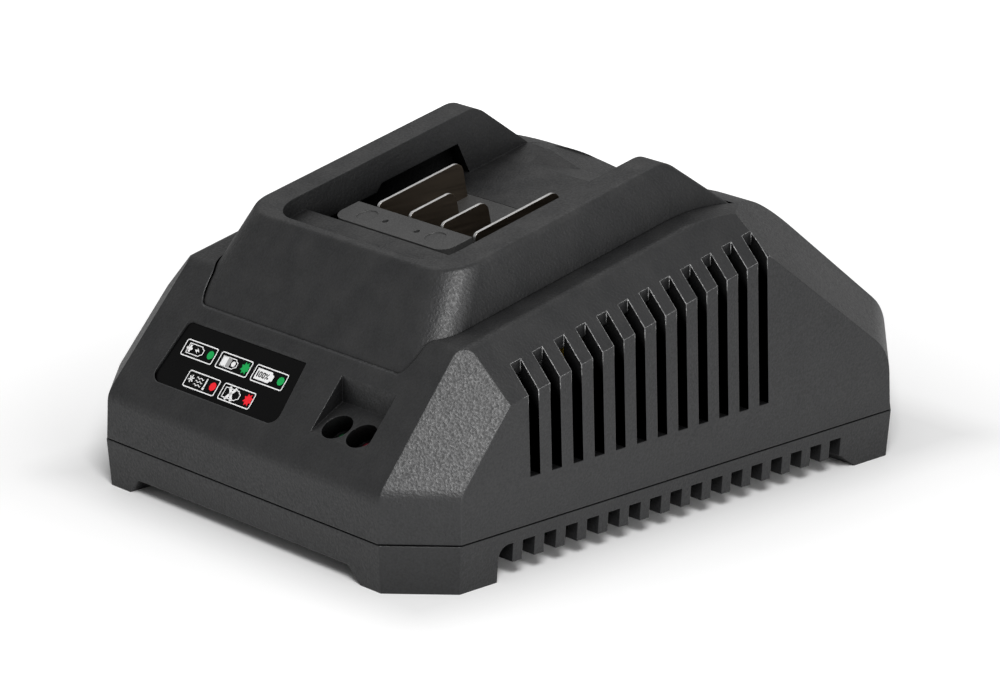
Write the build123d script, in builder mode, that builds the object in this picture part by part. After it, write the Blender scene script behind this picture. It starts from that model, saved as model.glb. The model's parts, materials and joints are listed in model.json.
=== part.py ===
from build123d import *
import os
from math import atan, cos, degrees, radians, sin, tan

# Power tool battery charger: a sloped two-part housing with side louvres, a slide-in battery
# dock on its inclined deck, an indicator panel and two lamps on the front slope.
# X is to the right, Y to the back, Z up; the origin is on the ground, 88 mm behind the front.

# ---------------------------------------------------------------- driving dimensions, mm
# Housing
WIDTH = 132.0
FRONT_LENGTH = 88.0      # from the origin to the front face
BACK_LENGTH = 100.0
FRONT_CORNER = 13.8      # leg of the 45 degree corners in plan
BACK_CORNER = 25.8
WALL = 2.4
SEAM_Z = 12.8            # underside of the upper housing
SEAM_GAP = 0.4           # shadow line between the two halves
LIP = 1.2                # lip of the lower housing that stands behind the seam
LIP_HEIGHT = 2.6
FIT = 0.15               # clearance of moulded parts that locate in each other
DRAFT = 0.036            # inward lean of the upper walls, mm per mm
LOWER_INSET = 0.98       # the lower housing is this much smaller at the ground
FRONT_BEND_Z = 24.6      # the front wall turns into the front slope
FRONT_RUN = 0.862        # set-back of the front slope for each mm of height
REAR_BEND_Z = 28.5
REAR_RUN = 1.13
FRONT_STRIP_RUN = 0.905  # the corner strips lean back a little more than the slopes
REAR_STRIP_RUN = 1.309
FRONT_BEND_RADIUS = 7.0
REAR_BEND_RADIUS = 9.0
REAR_STRIP_RADIUS = 15.0
RIDGE_RADIUS = 64.0      # the deck rolls over into the rear slope
DECK_ANGLE = 11.7        # the deck, the knee lines and the dock rise to the back
KNEE_Z = 55.9            # top of the side walls at Y = 0
ROOF_ANGLE = 44.5        # roof flanks, from the knee lines up to the deck
ROOF_RISE = 11.7         # deck above the knee line
ROOF_RADIUS = 5.0

# Side louvres
LOUVRES = 12
LOUVRE_PITCH = 7.07
LOUVRE_WIDTH = 3.3
LOUVRE_FIRST_Y = -49.8   # middle of the front louvre
LOUVRE_BOTTOM_Z = 24.5
LOUVRE_REACH = 6.0       # how far the slots run inboard of the knee line
LOUVRE_SILL = 2.4

# Base
FOOT_HEIGHT = 4.2
FOOT_X = 40.3            # inner end of each foot, at the top of its slanted flank
FOOT_FLANK = 4.0
FRONT_FOOT_Y = -61.8
REAR_FOOT_Y = 56.8
REAR_FOOT_FLANK = 5.4
FLOOR = 2.4
BASE_VENTS = 16
BASE_VENT_WIDTH = 4.0
BASE_VENT_FIRST_Y = -52.0
BASE_VENT_TOP_Z = 9.2
BASE_VENT_REACH = 9.0    # from the side wall into the floor
KEYHOLE_SPACING = 100.0
KEYHOLE_Y = 36.0
KEYHOLE_HEAD = 9.0
KEYHOLE_SHANK = 4.4
KEYHOLE_TRAVEL = 8.0

# Battery dock, measured on the inclined deck: V along the deck, H square to it
RIM_H = 12.4
RIM_WIDTH = 80.0
RIM_FRONT_V = -52.4
RIM_REAR_V = 21.3
RIM_CORNER = 10.5
RIM_ROUND = 1.9
REAR_ROUND = 7.0
DOCK_DROP = 7.0          # the dock's form starts this far under the deck
DOCK_SIDE_RUN = 0.33     # side walls widen downwards, mm per mm
DOCK_FRONT_RUN = 0.97
DOCK_REAR_RUN = 0.87
DOCK_END_V = 36.4        # back edge of the dock, on the rear slope
SEAT_DEPTH = 0.9         # recess in the housing that the dock stands in
SEAT_GAP = 0.4
BAY_WIDTH = 61.6         # between the arms, at the rim
BAY_SIDE_RUN = 0.17      # the bay narrows downwards
RIM_WALL = 2.3           # thin front rim
BAY_CORNER = 8.0
SHELF_DEPTH = 3.9        # shelf behind the front rim, below the rim
SHELF_END_V = -39.0
BAY_DEPTH = 15.1         # bay floor below the rim
BAY_FLOOR = 2.2
RAIL_DEPTH = 6.9         # height of the overhanging rails
RAIL_LEAD_DEPTH = 8.6
RAIL_UNDERCUT = 3.0
RAIL_START_V = -36.0
RAIL_STEP_V = -16.6
RAIL_STEP_LENGTH = 2.4
RAIL_END_V = 12.4
RAIL_END_LEAN = 1.2
SCOOP_V = 25.0           # lead-in scoop in the back edge of the bay floor
SCOOP_HALF_WIDTH = 18.0
SCOOP_REAR_HALF_WIDTH = 27.5
SCOOP_BED_HALF_WIDTH = 11.0
SCOOP_DROP = 4.9         # reached at the back edge of the dock
SCOOP_END_V = 67.0       # the scoop runs out on the rear slope
SCOOP_FALL = 0.68
TUB_WALL = 1.4
DOCK_SCREW_X = 38.8
DOCK_SCREW_V = (-30.0, 8.0)
DOCK_BOSS = 6.4

# Terminal block and blades
BLOCK_WIDTH = 42.6
BLOCK_GAP = 0.7
TOWER_REAR_V = -28.9
BLOCK_REAR_V = 4.0
BLOCK_CORNER = 4.0
BLOCK_BASE = 5.0
BLOCK_FLANGE = 2.0
BLADE_PITCH = 12.0
BLADE = 0.9
BLADE_FRONT_V = -25.8
LONG_BLADE_REAR_V = 3.0
SHORT_BLADE_REAR_V = -10.3
BLADE_TOP_DEPTH = 5.2
BLADE_FRONT_ROUND = 1.5
BLADE_REAR_ROUND = 2.6
BLADE_TAIL = 7.0
BLADE_TAIL_WIDTH = 4.0
MARK_X = 12.8
MARK_DIAMETER = 5.6
MARK_DEPTH = 0.25
PROBE_X = 5.9
PROBE_DIAMETER = 1.7
PROBE_DEPTH = 5.0

# Indicator panel and lamps on the front slope; heights are those of the slope's surface
PANEL_TOP_Z = 43.1
PANEL_BOTTOM_Z = 29.3
PANEL_TOP_X = (-38.7, 6.9)
PANEL_BOTTOM_X = (-40.7, 8.2)
PANEL_DEPTH = 0.9
PANEL_THICKNESS = 0.55
PANEL_TOP_ROUND = 1.5
PANEL_BOTTOM_ROUND = 3.2
SCOOP_X = (20.2, 40.2)
SCOOP_TOP_Z = 43.4
SCOOP_BOTTOM_Z = 31.3
SCOOP_WALL = 6.7         # upright back wall of the lamp scoop
LAMP_X = (26.0, 35.0)
LAMP_Y = -78.1
LAMP_WELL = 8.2
LAMP_WELL_DEPTH = 4.8
LAMP_DIAMETER = 5.0
LAMP_FLANGE = 5.8
LAMP_FLANGE_HEIGHT = 1.0
LAMP_HEIGHT = 8.6
LAMP_RECESS = 3.2        # lamp tips below the scoop floor
LAMP_PAD = 7.4           # moulded pad behind the scoop, square to its floor
LAMP_POST = 3.6
LAMP_PIN = 1.8

# Fasteners
SCREW_X = 52.0
SCREW_Y = 71.0
SCREW_HOLE = 3.3
SCREW_SHANK = 3.0        # the pilot holes have the same size
SCREW_HEAD = 5.8
SCREW_HEAD_HEIGHT = 2.2
HOUSING_SCREW_LENGTH = 16.0
BOARD_SCREW_LENGTH = 6.0
DOCK_SCREW_LENGTH = 8.0
PILLAR = 8.5

# Circuit board and what stands on it
BOARD = 1.6
BOARD_X = (-42.0, 54.0)
BOARD_Y = (-64.0, 64.0)
STANDOFF = 4.0
STANDOFF_DIAMETER = 7.0
BOARD_HOLES = ((-36.0, -57.0), (48.0, -57.0), (-36.0, 57.0), (48.0, 57.0))

# Fan behind the left louvres
FAN = 40.0
FAN_DEPTH = 10.0
FAN_X = -50.5
FAN_Y = 8.0
FAN_BORE = 38.0
FAN_HUB = 20.0
FAN_TIP_GAP = 0.6
FAN_BLADES = 7
FAN_BLADE = 1.0
FAN_BLADE_ANGLE = 38.0
FAN_STRUT = 2.0
FAN_CUP = 1.2
FAN_SHAFT = 2.0
FAN_RUNNING_FIT = 0.03
FAN_BEARING = 5.0
FAN_RIB = 1.6
FAN_RIB_HEIGHT = 7.0

FAN_CORNER = 2.5
FAN_HOLE = 3.4
FAN_HOLE_INSET = 4.0

# Parts on the circuit board: places are X and Y of their middle
BOARD_CORNER = 2.0
CORE = (36.0, 12.0, 30.0)
CORE_AT = (22.0, 4.0)
CORE_LEG = 6.0
COIL = (24.0, 26.0)
INPUT_CAN = (28.0, 42.0, 18.0, 30.0)    # X, Y, diameter and height
OUTPUT_CANS = ((-20.0, -44.0, 10.0, 20.0), (-6.0, -44.0, 10.0, 20.0))
CAN_ROUND = 1.0
CAN_GROOVE_Z = 2.0
CAN_GROOVE = 0.5
CAN_VENT = 0.4
CAN_VENT_SPAN = 0.6      # of the diameter
SINK_PLATE = 3.0
SINK_FINS = 5
SINK_FIN = 1.4
SINK_HEIGHT = 26.0
SINK_DEPTH = 9.0
PRIMARY_SINK = (-10.0, 22.0, 34.0)      # X, Y of the flat face, and length
SECONDARY_SINK = (22.0, -28.0, 40.0)
PACKAGE = (10.0, 4.4, 9.2)
PACKAGE_TAB = (10.0, 1.3, 6.4)
PACKAGE_HOLE = 3.8
PACKAGE_HOLE_RISE = 3.4  # above the package's body
LEAD = (0.8, 0.6, 4.0)
LEAD_PITCH = 2.54
LEAD_SETBACK = 2.4
BRIDGE = (20.0, 3.6, 14.0)
BRIDGE_AT = (6.0, 54.0)
BRIDGE_LEAD = (0.9, 0.9, 3.0)
BRIDGE_PITCH = 5.08
CHOKE_AT = (-12.0, 46.0)
CHOKE_BASE = 20.0
CHOKE_BASE_HEIGHT = 2.0
CHOKE_RING_RADIUS = 6.6
CHOKE_RING = 6.6         # thickness of the wound ring
CHOKE_RING_Z = 5.0
FILM = (8.0, 18.0, 14.0)
FILM_AT = (-32.0, 38.0)
FILM_ROUND = 1.0
FUSE_AT = (-23.0, 58.0)
FUSE_DIAMETER = 8.4
FUSE_HEIGHT = 8.0
FUSE_ROUND = 0.6

# Mains inlet for a two-pole lead, in the back wall
INLET_X = -20.0
INLET_Z = 20.3
INLET_WIDTH = 16.0
INLET_HEIGHT = 6.6
INLET_WALL = 1.2
INLET_SOCKET_DEPTH = 13.0
INLET_LENGTH = 18.0
INLET_FLANGE = 2.0
INLET_EAR = 3.5
INLET_PIN = 2.4
INLET_PIN_PITCH = 8.6
INLET_PIN_LENGTH = 9.0

# Cross slots of the screws
DRIVE_SPAN = 3.5
DRIVE_SLOT = 0.9

# ---------------------------------------------------------------- derived planes and sizes
LENGTH = FRONT_LENGTH + BACK_LENGTH
deck_rise = tan(radians(DECK_ANGLE))
deck_cos = cos(radians(DECK_ANGLE))
deck_sin = sin(radians(DECK_ANGLE))
DECK_Z = KNEE_Z + ROOF_RISE
DECK = Plane(origin=(0, 0, DECK_Z), x_dir=(1, 0, 0), z_dir=(0, -deck_sin, deck_cos))
louvre_x = WIDTH / 2 - DRAFT * (KNEE_Z - SEAM_Z) - LOUVRE_REACH
floor_top = FOOT_HEIGHT + FLOOR
board_z = floor_top + STANDOFF
board_top = board_z + BOARD
fan_z = floor_top + FAN / 2
bay_h = RIM_H - BAY_DEPTH
shelf_h = RIM_H - SHELF_DEPTH
block_foot_h = bay_h - BLOCK_BASE
blade_top_h = RIM_H - BLADE_TOP_DEPTH
tub_half = BAY_WIDTH / 2 + RAIL_UNDERCUT + TUB_WALL
tub_foot_h = bay_h - BAY_FLOOR
scoop_h = bay_h - SCOOP_DROP
scoop_end_h = scoop_h - SCOOP_FALL * (SCOOP_END_V - DOCK_END_V)
slope_stretch = (1 + FRONT_RUN**2) ** 0.5
os.makedirs("parts", exist_ok=True)


def save(part, label):
    """Label a finished piece and write its STEP file."""
    part.label = label
    export_step(part, f"parts/{label}.step")


def wall_x(z):
    """X of the right side wall at height z."""
    return WIDTH / 2 - DRAFT * (z - SEAM_Z)


def front_y(z):
    """Y of the front wall at height z."""
    return -FRONT_LENGTH + DRAFT * (z - SEAM_Z)


def back_y(z):
    """Y of the back wall at height z."""
    return BACK_LENGTH - DRAFT * (z - SEAM_Z)


def slope_y(z):
    """Y of the front slope's surface at height z."""
    return front_y(FRONT_BEND_Z) + FRONT_RUN * (z - FRONT_BEND_Z)


def deck_side(x):
    """Plane square to X whose own axes are V and H of the deck."""
    return Plane(origin=DECK.origin + Vector(x, 0, 0), x_dir=DECK.y_dir, z_dir=(1, 0, 0))


def corner_plane(sign_x, sign_y):
    """Upright plane through the Z axis that looks along one 45 degree corner."""
    return Plane(origin=(0, 0, 0), x_dir=(sign_x, sign_y, 0), z_dir=(sign_y, -sign_x, 0))


def span(low, high):
    """Middle and length of an interval."""
    return (low + high) / 2, high - low


# ---------------------------------------------------------------- housing forms
def plan_outline(z, inset):
    """Outline of the housing at its seam, moved inwards by inset and drawn at height z."""
    side, front, back = WIDTH / 2, -FRONT_LENGTH, BACK_LENGTH
    right = [(side - FRONT_CORNER, front), (side, front + FRONT_CORNER),
             (side, back - BACK_CORNER), (side - BACK_CORNER, back)]
    with BuildSketch(Plane.XY.offset(z)) as outline:
        Polygon(*right, *[(-x, y) for x, y in reversed(right)], align=None)
        if inset:
            offset(amount=-inset, kind=Kind.INTERSECTION)
    return outline.sketch


def housing_form(inset):
    """Solid inside the upper housing's outer surface, moved inwards by inset.

    Each profile is one family of surfaces, and their common volume is the form.
    """
    front, back = front_y(FRONT_BEND_Z), back_y(REAR_BEND_Z)
    # Heights where the slopes run into the deck line.
    front_top = (DECK_Z + deck_rise * (front - FRONT_RUN * FRONT_BEND_Z)) / (1 - deck_rise * FRONT_RUN)
    rear_top = (DECK_Z + deck_rise * (back + REAR_RUN * REAR_BEND_Z)) / (1 + deck_rise * REAR_RUN)
    foot = -20.0
    reach = 2 * LENGTH
    with BuildPart() as form:
        with BuildSketch(Plane.YZ):
            with BuildLine():
                FilletPolyline(
                    (front_y(foot), foot), (front, FRONT_BEND_Z),
                    (front + FRONT_RUN * (front_top - FRONT_BEND_Z), front_top),
                    (back - REAR_RUN * (rear_top - REAR_BEND_Z), rear_top),
                    (back, REAR_BEND_Z), (back_y(foot), foot),
                    radius=(0, FRONT_BEND_RADIUS, ROOF_RADIUS, RIDGE_RADIUS, REAR_BEND_RADIUS, 0),
                    close=True)
            make_face()
            if inset:
                offset(amount=-inset, kind=Kind.INTERSECTION)
        extrude(amount=WIDTH, both=True)
        with BuildSketch(Plane.XZ):
            Polygon((-wall_x(foot), foot), (wall_x(foot), foot), (wall_x(LENGTH), LENGTH),
                    (-wall_x(LENGTH), LENGTH), align=None)
            if inset:
                offset(amount=-inset, kind=Kind.INTERSECTION)
        extrude(amount=LENGTH, both=True, mode=Mode.INTERSECT)
        for sign_y, bend_z, run, edge_y, leg, bend in (
                (-1, FRONT_BEND_Z, FRONT_STRIP_RUN, -front, FRONT_CORNER, FRONT_BEND_RADIUS),
                (1, REAR_BEND_Z, REAR_STRIP_RUN, back, BACK_CORNER, REAR_STRIP_RADIUS)):
            for sign_x in (-1, 1):
                corner_at = (wall_x(bend_z) + edge_y - leg) / 2**0.5
                lean = run / 2**0.5
                top = DECK_Z * 2
                with BuildSketch(corner_plane(sign_x, sign_y)):
                    with BuildLine():
                        FilletPolyline(
                            (-reach, foot), (corner_at + DRAFT * (bend_z - foot), foot),
                            (corner_at, bend_z), (corner_at - lean * (top - bend_z), top),
                            (-reach, top), radius=(0, 0, bend, 0, 0), close=True)
                    make_face()
                    if inset:
                        offset(amount=-inset, kind=Kind.INTERSECTION)
                extrude(amount=reach, both=True, mode=Mode.INTERSECT)
        # Roof flanks and deck, drawn square to the deck.
        fall = atan(tan(radians(ROOF_ANGLE)) * deck_cos)
        edge_x = wall_x(KNEE_Z) - ROOF_RISE / tan(radians(ROOF_ANGLE)) - inset * tan(fall / 2)
        low = -inset - (reach - edge_x) * tan(fall)
        with BuildSketch(Plane(origin=DECK.origin, x_dir=(1, 0, 0), z_dir=-DECK.y_dir)):
            with BuildLine():
                FilletPolyline((-reach, low), (-edge_x, -inset), (edge_x, -inset), (reach, low),
                               radius=(0, ROOF_RADIUS - inset, ROOF_RADIUS - inset, 0), close=True)
            make_face()
        extrude(amount=reach, both=True, mode=Mode.INTERSECT)
        split(bisect_by=Plane.XY.offset(SEAM_Z), keep=Keep.TOP)
    return form.part


def dock_outline(height, spare):
    """Outline of the dock at this height over the deck, grown by spare; its back end is open."""
    drop = RIM_H - height
    half = RIM_WIDTH / 2 + DOCK_SIDE_RUN * drop + spare
    front = RIM_FRONT_V - DOCK_FRONT_RUN * drop - spare
    with BuildSketch(DECK.offset(height)) as outline:
        with BuildLine():
            FilletPolyline((-half, front), (half, front), (half, WIDTH), (-half, WIDTH),
                           radius=(RIM_CORNER, RIM_CORNER, 0, 0), close=True)
        make_face()
    return outline.sketch


def dock_form(spare, top):
    """Tapered block of the dock up to a given height, grown by spare; it starts under the deck."""
    fall = RIM_H + DOCK_DROP
    end_h = RIM_H - (DOCK_END_V - RIM_REAR_V) / DOCK_REAR_RUN
    with BuildPart() as form:
        add(dock_outline(-DOCK_DROP, spare))
        add(dock_outline(top, spare))
        loft(ruled=True)
        with BuildSketch(deck_side(0)):
            with BuildLine():
                FilletPolyline(
                    (-LENGTH, RIM_H), (RIM_REAR_V, RIM_H), (DOCK_END_V, end_h),
                    (DOCK_END_V, RIM_H - fall), (-LENGTH, RIM_H - fall),
                    radius=(0, REAR_ROUND, 0, 0, 0), close=True)
            make_face()
            if spare:
                offset(amount=spare, kind=Kind.INTERSECTION)
        extrude(amount=WIDTH, both=True, mode=Mode.INTERSECT)
    return form.part


def tub_form(spare):
    """Block of the bay that stands in the deck; its narrower tail runs down the rear slope."""
    front = SHELF_END_V - WALL - spare
    rear, tail_end = DOCK_END_V + spare, SCOOP_END_V + spare
    foot, rear_foot = tub_foot_h - spare, scoop_h - BAY_FLOOR - spare
    with BuildPart() as form:
        with BuildSketch(deck_side(0)):
            Polygon((-WIDTH, shelf_h - WALL), (-WIDTH, RIM_H), (rear, RIM_H),
                    (rear, rear_foot), (SCOOP_V - WALL - SCOOP_DROP, foot),
                    (front, foot), (front, shelf_h - WALL), align=None)
        extrude(amount=tub_half + spare, both=True)
        with BuildSketch(deck_side(0)):
            Polygon((SCOOP_V, RIM_H), (tail_end, RIM_H), (tail_end, scoop_end_h - BAY_FLOOR - spare),
                    (DOCK_END_V, rear_foot), (SCOOP_V, foot), align=None)
        extrude(amount=SCOOP_REAR_HALF_WIDTH + WALL + spare, both=True)
    return form.part


outer_form = housing_form(0)
inner_form = housing_form(WALL)
seat_form = housing_form(SEAT_DEPTH)
SLOPE = Plane(origin=(0, slope_y(PANEL_BOTTOM_Z), PANEL_BOTTOM_Z), x_dir=(1, 0, 0),
              z_dir=(0, -1, FRONT_RUN))
lamp_back = (slope_y(SCOOP_TOP_Z), SCOOP_TOP_Z - SCOOP_WALL)
lamp_front = (slope_y(SCOOP_BOTTOM_Z), SCOOP_BOTTOM_Z)
lamp_rise = atan((lamp_back[1] - lamp_front[1]) / (lamp_back[0] - lamp_front[0]))
LAMPS = Plane(origin=(0, LAMP_Y, lamp_front[1] + (LAMP_Y - lamp_front[0]) * tan(lamp_rise)),
              x_dir=(1, 0, 0), z_dir=(0, -sin(lamp_rise), cos(lamp_rise)))
INLET = Plane(origin=(INLET_X, back_y(INLET_Z), INLET_Z), x_dir=(-1, 0, 0), z_dir=(0, 1, DRAFT))
screw_spots = [(sx * SCREW_X, sy * SCREW_Y) for sx in (-1, 1) for sy in (-1, 1)]
dock_spots = [(sx * DOCK_SCREW_X, v) for sx in (-1, 1) for v in DOCK_SCREW_V]
blade_spots = [((i - 1.5) * BLADE_PITCH, SHORT_BLADE_REAR_V if i in (1, 2) else LONG_BLADE_REAR_V)
               for i in range(4)]


def panel_outline(spare):
    """Outline of the indicator panel on the front slope, moved inwards by spare."""
    top = (PANEL_TOP_Z - PANEL_BOTTOM_Z) * slope_stretch
    with BuildSketch(SLOPE.offset(-PANEL_DEPTH)) as outline:
        with BuildLine():
            FilletPolyline((PANEL_BOTTOM_X[0], 0), (PANEL_BOTTOM_X[1], 0),
                           (PANEL_TOP_X[1], top), (PANEL_TOP_X[0], top),
                           radius=(PANEL_BOTTOM_ROUND, PANEL_BOTTOM_ROUND, PANEL_TOP_ROUND,
                                   PANEL_TOP_ROUND), close=True)
        make_face()
        if spare:
            offset(amount=-spare, kind=Kind.INTERSECTION)
    return outline.sketch


# ---------------------------------------------------------------- upper housing
with BuildPart() as fin_block:
    louvre_last = LOUVRE_FIRST_Y + (LOUVRES - 1) * LOUVRE_PITCH
    fin_mid, fin_length = span(LOUVRE_FIRST_Y - LOUVRE_PITCH / 2, louvre_last + LOUVRE_PITCH / 2)
    with Locations((louvre_x, fin_mid, LOUVRE_BOTTOM_Z - LOUVRE_SILL)):
        Box(LENGTH, fin_length, DECK_Z, align=(Align.MIN, Align.CENTER, Align.MIN))
    mirror(about=Plane.YZ)
    add(outer_form, mode=Mode.INTERSECT)

with BuildPart() as pillars:
    with Locations(*[(x, y, 0) for x, y in screw_spots]):
        Cylinder(PILLAR / 2, DECK_Z, align=(Align.CENTER, Align.CENTER, Align.MIN))
    with BuildSketch(LAMPS):
        with Locations((span(*SCOOP_X)[0], WALL)):
            Rectangle(span(*SCOOP_X)[1] + 2 * WALL, span(lamp_front[0], lamp_back[0])[1] + 4 * WALL)
    extrude(amount=LAMP_PAD, both=True)
    add(outer_form, mode=Mode.INTERSECT)

with BuildPart() as upper_housing:
    add(outer_form)
    add(inner_form, mode=Mode.SUBTRACT)
    add(fin_block.part)
    add(pillars.part)
    # The dock stands in a shallow recess and its bay passes through the deck.
    add(dock_form(SEAT_GAP, RIM_H) - seat_form, mode=Mode.SUBTRACT)
    add(tub_form(SEAT_GAP), mode=Mode.SUBTRACT)
    # Rebate for the lip of the lower housing.
    add(plan_outline(SEAM_Z, LIP + FIT))
    extrude(amount=LIP_HEIGHT + FIT, mode=Mode.SUBTRACT)
    with Locations(*[(x, y, SEAM_Z) for x, y in screw_spots]):
        Cylinder(PILLAR / 2, LIP_HEIGHT + WALL, align=(Align.CENTER, Align.CENTER, Align.MIN))
    # Louvres, open from the side wall up through the roof.
    for i in range(LOUVRES):
        with Locations((louvre_x, LOUVRE_FIRST_Y + i * LOUVRE_PITCH, LOUVRE_BOTTOM_Z),
                       (-louvre_x - LENGTH, LOUVRE_FIRST_Y + i * LOUVRE_PITCH, LOUVRE_BOTTOM_Z)):
            Box(LENGTH, LOUVRE_WIDTH, DECK_Z, align=(Align.MIN, Align.CENTER, Align.MIN),
                mode=Mode.SUBTRACT)
    # Recess of the indicator panel.
    add(panel_outline(0))
    extrude(amount=PANEL_DEPTH + WALL, mode=Mode.SUBTRACT)
    # Scoop with the two lamp wells.
    scoop_mid, scoop_length = span(*SCOOP_X)
    with BuildSketch(Plane.YZ.offset(SCOOP_X[0])):
        Polygon((lamp_back[0], SCOOP_TOP_Z), lamp_back, lamp_front,
                (lamp_front[0] - LENGTH, lamp_front[1]), (lamp_back[0] - LENGTH, SCOOP_TOP_Z),
                align=None)
    extrude(amount=scoop_length, mode=Mode.SUBTRACT)
    for x in LAMP_X:
        with BuildSketch(LAMPS):
            with Locations((x, 0)):
                Circle(LAMP_WELL / 2)
        extrude(amount=-LAMP_WELL_DEPTH, mode=Mode.SUBTRACT)
        with BuildSketch(LAMPS):
            with Locations((x, 0)):
                Circle(LAMP_DIAMETER / 2 + FIT)
        extrude(amount=-LAMP_PAD, mode=Mode.SUBTRACT)
    # Posts with pins for the indicator board.
    lamp_board_h = LAMP_RECESS + LAMP_HEIGHT
    post_gap = lamp_board_h - LAMP_PAD
    for x in SCOOP_X:
        with BuildSketch(LAMPS.offset(-LAMP_PAD)):
            with Locations((x, 0)):
                Circle(LAMP_POST / 2)
        extrude(amount=-post_gap)
        with BuildSketch(LAMPS.offset(-LAMP_PAD)):
            with Locations((x, 0)):
                Circle(LAMP_PIN / 2)
        extrude(amount=-post_gap - BOARD - LAMP_PIN / 2)
    # Screw pilots, dock screw holes and the inlet's opening.
    with Locations(*[(x, y, SEAM_Z) for x, y in screw_spots]):
        Cylinder(SCREW_SHANK / 2, HOUSING_SCREW_LENGTH, align=(Align.CENTER, Align.CENTER, Align.MIN),
                 mode=Mode.SUBTRACT)
    with BuildSketch(DECK.offset(-2 * WALL)):
        with Locations(*dock_spots):
            Circle(SCREW_HOLE / 2)
    extrude(amount=4 * WALL, mode=Mode.SUBTRACT)
    with BuildSketch(INLET.offset(WALL)):
        Rectangle(INLET_WIDTH + 2 * INLET_WALL + FIT, INLET_HEIGHT + 2 * INLET_WALL + FIT)
    extrude(amount=-INLET_LENGTH, mode=Mode.SUBTRACT)
save(upper_housing.part, "upper_housing")

# ---------------------------------------------------------------- lower housing
with BuildPart() as lower_housing:
    add(plan_outline(0, LOWER_INSET))
    add(plan_outline(SEAM_Z - SEAM_GAP, 0))
    loft(ruled=True)
    add(plan_outline(floor_top, WALL + FIT + LIP))
    extrude(amount=SEAM_Z, mode=Mode.SUBTRACT)
    # Lip behind the seam.
    lip_z = SEAM_Z - SEAM_GAP
    add(plan_outline(lip_z, LIP + 2 * FIT) - plan_outline(lip_z, 2 * LIP + 2 * FIT))
    extrude(amount=SEAM_GAP + LIP_HEIGHT)
    # Pillars that carry the upper housing.
    with Locations(*[(x, y, 0) for x, y in screw_spots]):
        Cylinder(PILLAR / 2, SEAM_Z, align=(Align.CENTER, Align.CENTER, Align.MIN))
    # Gaps between the feet.
    with BuildSketch(Plane.XZ.offset(-LENGTH)):
        Polygon((-FOOT_X - FOOT_FLANK, 0), (FOOT_X + FOOT_FLANK, 0), (FOOT_X, FOOT_HEIGHT),
                (-FOOT_X, FOOT_HEIGHT), align=None)
    extrude(amount=2 * LENGTH, mode=Mode.SUBTRACT)
    with BuildSketch(Plane.YZ.offset(-WIDTH)):
        Polygon((FRONT_FOOT_Y, 0), (REAR_FOOT_Y + REAR_FOOT_FLANK, 0),
                (REAR_FOOT_Y, FOOT_HEIGHT), (FRONT_FOOT_Y, FOOT_HEIGHT), align=None)
    extrude(amount=2 * WIDTH, mode=Mode.SUBTRACT)
    # Vents along both bottom edges; the front one rounds into the foot.
    vent_x = WIDTH / 2 - BASE_VENT_REACH
    for i in range(BASE_VENTS):
        y = BASE_VENT_FIRST_Y + i * LOUVRE_PITCH
        with Locations((vent_x, y, 0), (-vent_x - WIDTH, y, 0)):
            Box(WIDTH, BASE_VENT_WIDTH, BASE_VENT_TOP_Z, align=(Align.MIN, Align.CENTER, Align.MIN),
                mode=Mode.SUBTRACT)
    last_land = BASE_VENT_FIRST_Y - LOUVRE_PITCH + BASE_VENT_WIDTH / 2
    for sign in (-1, 1):
        with BuildSketch(Plane.YZ.offset(sign * (vent_x + WIDTH / 2))):
            with BuildLine():
                FilletPolyline((FRONT_FOOT_Y, 0), (last_land, 0), (last_land, BASE_VENT_TOP_Z),
                               (FRONT_FOOT_Y, BASE_VENT_TOP_Z),
                               radius=(0, 0, 0, BASE_VENT_WIDTH * 0.8), close=True)
            make_face()
        extrude(amount=WIDTH / 2, both=True, mode=Mode.SUBTRACT)
    # Board standoffs and the ribs that hold the fan.
    with Locations(*[(x, y, FOOT_HEIGHT) for x, y in BOARD_HOLES]):
        Cylinder(STANDOFF_DIAMETER / 2, FLOOR + STANDOFF, align=(Align.CENTER, Align.CENTER, Align.MIN))
    for side in (-1, 1):
        rib_x = FAN_X + side * (FAN_DEPTH / 2 + FIT + FAN_RIB / 2)
        with Locations((rib_x, FAN_Y, FOOT_HEIGHT)):
            Box(FAN_RIB, FAN * 0.8, FLOOR + FAN_RIB_HEIGHT, align=(Align.CENTER, Align.CENTER, Align.MIN))
    # Screw holes from below, board pilots and keyholes for a wall.
    head_z = floor_top + SCREW_HEAD_HEIGHT / 2
    with Locations(*[(x, y, 0) for x, y in screw_spots]):
        Cylinder(SCREW_HOLE / 2, SEAM_Z, align=(Align.CENTER, Align.CENTER, Align.MIN), mode=Mode.SUBTRACT)
        Cylinder(SCREW_HEAD / 2 + 2 * FIT, head_z, align=(Align.CENTER, Align.CENTER, Align.MIN),
                 mode=Mode.SUBTRACT)
    with Locations(*[(x, y, board_z) for x, y in BOARD_HOLES]):
        Cylinder(SCREW_SHANK / 2, BOARD_SCREW_LENGTH - BOARD, mode=Mode.SUBTRACT,
                 align=(Align.CENTER, Align.CENTER, Align.MAX))
    for side in (-1, 1):
        with BuildSketch(Plane.XY.offset(FOOT_HEIGHT)):
            with Locations((side * KEYHOLE_SPACING / 2, KEYHOLE_Y)):
                Circle(KEYHOLE_HEAD / 2)
            with Locations((side * KEYHOLE_SPACING / 2, KEYHOLE_Y + KEYHOLE_TRAVEL / 2)):
                SlotCenterToCenter(KEYHOLE_TRAVEL, KEYHOLE_SHANK, rotation=90)
        extrude(amount=FLOOR, mode=Mode.SUBTRACT)
save(lower_housing.part, "lower_housing")

# ---------------------------------------------------------------- battery dock
def on_rim(edge):
    """True for the top edges of the dock in front of its rounded back."""
    heights = [DECK.to_local_coords(v.center()).Z for v in edge.vertices()]
    return min(heights) > RIM_H - FIT and DECK.to_local_coords(edge.center()).Y < RIM_REAR_V - REAR_ROUND


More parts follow.
